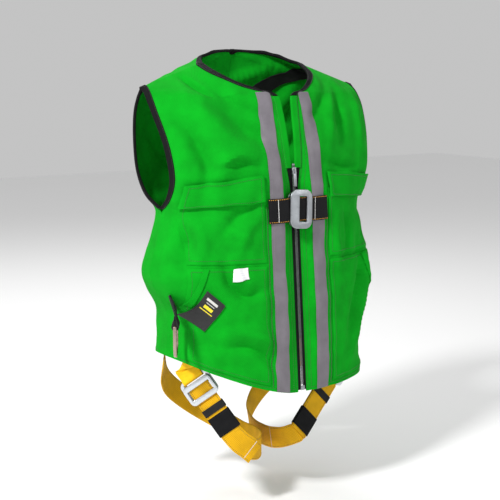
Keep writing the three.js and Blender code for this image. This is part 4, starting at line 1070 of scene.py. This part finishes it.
def chest_straps():
    link_ahead, eye_x = 11.4, -17
    ends = {
        "left": [(26, 15), (12, 15), (-6, 15)],
        "right": [(27, 15.6), (24, 15.6), (-eye_x + 5.4, link_ahead + 3.4)],
    }
    over = SEWN_GAP * 2 + TAPE_THICK + WEB_THICK / 2
    for name, side in SIDES.items():
        knots = []
        for i, x in enumerate((66, 58, 46, 36)):
            v = level_of(FRONT, side, x, BELT_Z)
            point = plain_face(FRONT, side, np.array(float(x)), v)[0]
            knots.append(point + ZIP_OUT * (over + 1.2 if i else over + 0.4))
        knots += [zip_point(BELT_DOWN, ahead, side * x) for x, ahead in ends[name]]
        line = catmull(knots, 60)
        facing = np.tile(ZIP_OUT, (60, 1))
        stations = strap(
            f"chest_web_{name}", line, facing, WEB_WIDTH, looks["black"], "vest", "black",
            f"chest_strap_{name}",
        )
        edge_stitches(
            f"chest_web_edges_{name}", stations, WEB_WIDTH, 1.15, looks["orange_thread"], "vest", "black", 2.2
        )
        tack_row(
            f"chest_web_tack_{name}", stations, 0.45, WEB_WIDTH, 1.2, looks["white_thread"], "vest", "black"
        )


def lining_ribbon(name, stations, node):
    """Webbing under the fabric through (levels, level, x) stations."""
    half = WEB_WIDTH / 2
    outer, inner = [], []
    side = SIDES[name.rsplit("_", 1)[1]]
    for levels, v, x in stations:
        across = x + np.linspace(-half, half, 9)
        within = np.clip(across, inner_x(levels, v), outer_x(levels, v))
        points, normals = places(levels, side, within, np.full(9, v))
        outer.append(points - normals * (FABRIC + 1))
        inner.append(points - normals * (FABRIC + 1 + WEB_THICK))
    piece = slab(name, np.array(outer), np.array(inner), looks["black"])
    settle(piece, "vest", "black", node)


def ribbon_x(run, v):
    levels, xs = zip(*run)
    return np.interp(v, levels, xs)


def lining_webs():
    front_run = [(0.5, 128), (4, 112), (6, 100), (8, 104), (10, 132), (12, 168), (15, 176)]
    back_run = [(9.4, 27), (10, 58), (11.3, 118), (12, 140), (13, 160), (15, 176)]
    seat_run = [(0.7, 132), (3.5, 104), (6, 72), (8.7, 27)]
    for name in SIDES:
        up = [(FRONT, v, ribbon_x(front_run, v)) for v in np.linspace(0.5, 14.97, 110)]
        down = [(BACK, v, ribbon_x(back_run, v)) for v in np.linspace(14.97, 9.4, 40)]
        lining_ribbon(f"shoulder_web_{name}", up + down, f"shoulder_strap_{name}")
        seat = [(BACK, v, ribbon_x(seat_run, v)) for v in np.linspace(0.7, 8.7, 70)]
        lining_ribbon(f"back_web_{name}", seat, f"back_strap_{name}")


# ------------------------------------------------------------------ leg straps
LEGS = {
    "right": {
        "buckle": (167, -79, -560), "band": (134, -110, -622), "keeper": 45,
        "rest": [(99, -130, -669), (68, -119, -683), (36, -88, -688), (16, -42, -690)],
        "tip": (85, -139, -684),
    },
    "left": {
        "buckle": (142, -88, -565), "band": (48, -112, -650), "keeper": 62,
        "rest": [(15, -102, -677), (9, -66, -688), (10, -28, -692)],
        "tip": None,
    },
}
BEHIND = [(16, 15, -690), (36, 62, -674), (82, 90, -640), (132, 84, -600), (164, 58, -566), (178, 36, -532)]
THIGH = np.array([92, -30, 0])
TAIL_LIFT = WEB_THICK + 0.6
LEG_WEB = WEB_WIDTH - 2


def thigh_normal(p):
    return unit((np.asarray(p, float) - THIGH) * [1, 1, 0])


def squared(normal, direction):
    return unit(normal - direction * np.dot(normal, direction))


def sleeve(name, at, across, out, width, thick, wall, material, body, slot, node):
    """A woven sleeve: a hollow rounded ring swept along its stations."""
    outer = np.array(web_section(width + 2 * wall, thick + 2 * wall, 9, 1.6))
    inner = np.array(web_section(width, thick, 9, 0.6))

    def ring(section):
        return at[:, None] + across[:, None] * section[None, :, :1] + out[:, None] * section[None, :, 1:]

    v = np.concatenate([[0], np.cumsum(np.linalg.norm(np.diff(at, axis=0), axis=1))])
    uv = np.stack(np.broadcast_arrays(outer[None, :, 0], v[:, None]), axis=-1)
    piece = slab(name, ring(outer), ring(inner), material, uv, wrap=True)
    settle(piece, body, slot, node)


def leg_straps():
    for name, leg in LEGS.items():
        side = SIDES[name]
        mirror = np.array([side, 1, 1])
        buckle, band = np.array(leg["buckle"], float), np.array(leg["band"], float)
        down = unit(band - buckle)
        reach = np.linalg.norm(band - buckle)
        out = squared(thigh_normal(lerp(buckle, band, 0.6)), down)

        def on_line(distances, lift=0.0):
            return buckle + down * np.asarray(distances, float)[:, None] + out * lift

        bend = catmull([on_line([reach + 28])[0], *leg["rest"], *BEHIND], 150)
        start = on_line(np.linspace(-8, reach + 27, 60))
        blend = smooth(np.linspace(0, 150 / 25, 150))[:, None]
        turning = unit(lerp(out[None], thigh_normal(bend), blend))
        line = np.vstack([start, bend]) * mirror
        facing = np.vstack([np.tile(out, (60, 1)), turning]) * mirror
        loop = strap(
            f"leg_web_{name}", line, facing, LEG_WEB, looks["yellow"], "vest", "yellow", f"leg_strap_{name}"
        )
        edge_stitches(f"leg_web_edges_{name}", loop, LEG_WEB, 1.1, looks["black_thread"], "vest", "yellow")
        if name == "left":
            tack_row("leg_web_tack_left", loop, 0.405, LEG_WEB, 1.15, looks["white_thread"], "vest", "yellow")

        held = on_line(np.linspace(27, reach + 26, 40), TAIL_LIFT)
        tail, lean = held, np.tile(out, (40, 1))
        if leg["tip"]:
            near, far = bend[6] + turning[6] * (TAIL_LIFT + 1.5), bend[12] + turning[12] * (TAIL_LIFT + 5)
            free = catmull([held[-1], near, far, leg["tip"]], 24)[1:]
            tail = np.vstack([held, free])
            lean = np.vstack([lean, np.linspace(out, thigh_normal(leg["tip"]), 23)])
        tail_at = strap(
            f"leg_tail_web_{name}", tail * mirror, lean * mirror, LEG_WEB, looks["yellow"], "vest", "yellow",
            f"leg_tail_{name}",
        )
        edge_stitches(
            f"leg_tail_edges_{name}", tail_at, LEG_WEB, 1.1, looks["black_thread"], "vest", "yellow"
        )
        if leg["tip"]:
            white = looks["white_thread"]
            tack_row("leg_tail_tack_right", tail_at, 0.93, LEG_WEB, 1.15, white, "vest", "yellow", 0.3)

        across = unit(np.cross(down, out)) * side
        for part, centre, half, look, body in (
            ("keeper", leg["keeper"], 7, "elastic", f"keeper_{name}"),
            ("band", reach, 20, "band", "vest"),
        ):
            at = on_line(np.linspace(centre - half, centre + half, 9), TAIL_LIFT / 2) * mirror
            wide, lean = np.tile(across * mirror, (9, 1)), np.tile(out * mirror, (9, 1))
            sleeve(
                f"leg_{part}_sleeve_{name}", at, wide, lean, WEB_WIDTH - 1, WEB_THICK + TAIL_LIFT + 0.8, 1.3,
                looks[look], body, "black", f"leg_{part}_{name}",
            )
        refined(f"leg_buckle_link_{name}", 1.1, 4, looks["bright"], "vest", "bright")
        refined(f"leg_buckle_frame_{name}", 1.2, 4, looks["bright"], f"leg_frame_{name}", "bright")


# ------------------------------------------------------------------ webbing folds taken from the CAD
def soft_copy(node, material, body, slot):
    """A sewn fold of webbing: the CAD solid with eased edges and smooth bends."""
    piece = refined(node, 0.5, 2, material, body, slot, 60)
    modifier = piece.modifiers.new("smooth", "SUBSURF")
    modifier.levels = modifier.render_levels = 1
    return piece


def hardware():
    refined("chest_buckle_link", 1.1, 4, looks["steel"], "vest", "steel")
    refined("chest_buckle_frame", 1.3, 4, looks["steel"], "chest_frame", "steel")
    for name in SIDES:
        refined(f"side_d_ring_{name}", 2.4, 5, looks["ring"], f"side_ring_{name}", "steel")
        soft_copy(f"hip_strap_{name}", looks["inner"], "vest", "black")
        soft_copy(f"leg_upper_strap_{name}", looks["yellow_fold"], "vest", "yellow")
    refined("dorsal_d_ring", 2.4, 5, looks["steel"], "dorsal_ring", "steel")
    refined("dorsal_plate", 1.6, 4, looks["rubber"], "vest", "black")
    refined("dorsal_strap", 0.5, 2, looks["inner"], "vest", "black", 50)


# ------------------------------------------------------------------ label, tag and pocket edges
def patch_grid(name, corners, steps):
    side = SIDES[name]
    a, b, c, d = (np.array(corner, float) for corner in corners)
    s = np.linspace(0, 1, steps)
    top = lerp(a, b, s[:, None])
    foot = lerp(d, c, s[:, None])
    flat = lerp(top[None], foot[None], s[:, None, None])
    v = level_of(FRONT, side, flat[..., 0], flat[..., 1])
    return places(FRONT, side, flat[..., 0], v)


def label_look():
    """A black label with generic bars, placed by its own cloth map."""
    m = Nodes("label", (0.008, 0.008, 0.009), 0.6)
    across, along = m.cloth()
    color = (0.01, 0.01, 0.011)
    for low, high, left, right, tint in (
        (0.008, 0.0125, 0.007, 0.031, (0.62, 0.61, 0.58)),
        (0.0155, 0.017, 0.010, 0.028, (0.5, 0.49, 0.47)),
        (0.0205, 0.0265, 0.010, 0.029, (0.85, 0.7, 0.02)),
        (0.030, 0.0318, 0.006, 0.034, (0.85, 0.7, 0.02)),
    ):
        inside = m.math("MULTIPLY", m.math("GREATER_THAN", along, low), m.math("LESS_THAN", along, high))
        beside = m.math("MULTIPLY", m.math("GREATER_THAN", across, left), m.math("LESS_THAN", across, right))
        color = m.mixed(m.math("MULTIPLY", inside, beside), color, tint)
    m.paint(color)
    return m.done(m.bump(m.math("MULTIPLY", m.wave(across, 0.0008), m.wave(along, 0.0008)), 0.3, 0.0003))


def tag_look():
    m = Nodes("size_tag", (0.82, 0.82, 0.84), 0.65)
    across, along = m.cloth()
    stripe = m.math("GREATER_THAN", m.wave(along, 0.0042), 0.5)
    tint = m.mixed(m.math("MULTIPLY", stripe, 0.5), (0.86, 0.86, 0.88), (0.7, 0.68, 0.74))
    m.paint(tint)
    return m.done(m.bump(m.wave(across, 0.0009), 0.3, 0.0003))


def sewn_patches():
    label = [(179, -366), (151, -394), (176, -444), (202, -416)]
    tag = [(135, -330), (110, -328), (110, -350), (135, -351)]
    for node, corners, steps, lift, thick, slot in (
        ("label_patch", label, 16, ON_POCKET + 1.2, 1, "label"),
        ("size_tag", tag, 10, ON_POCKET, 0.8, "tag"),
    ):
        points, normals = patch_grid("right", corners, steps)
        piece = layer(node + "_cloth", points, normals, lift, thick, looks[slot])
        settle(piece, "vest", slot, node)
        thread_look = "black_thread" if node == "label_patch" else "white_thread"
        line = inset_line(points, normals, lift + thick + 0.05, 1, top=True)
        stitches(node + "_stitching", [line], looks[thread_look], "vest", slot, 2.4, 1.7, 0.25)
    welt = [(174, -330), (182, -328), (205, -394), (196, -398)]
    for name in SIDES:
        points, normals = patch_grid(name, welt, 14)
        piece = layer(f"pocket_edge_{name}", points, normals, ON_POCKET - 0.6, 2.2, looks["mesh"])
        settle(piece, "vest", "mesh", f"pocket_welt_{name}")


looks["label"] = label_look()
looks["tag"] = tag_look()
looks["yellow_fold"] = plain_web("yellow_fold_webbing", (0.9, 0.52, 0.006))

place_camera()
studio()
front_panels()
back_panel()
reflective_tapes()
pockets()
flaps()
seams()
bindings()
zip_fastener()
chest_straps()
lining_webs()
leg_straps()
hardware()
sewn_patches()
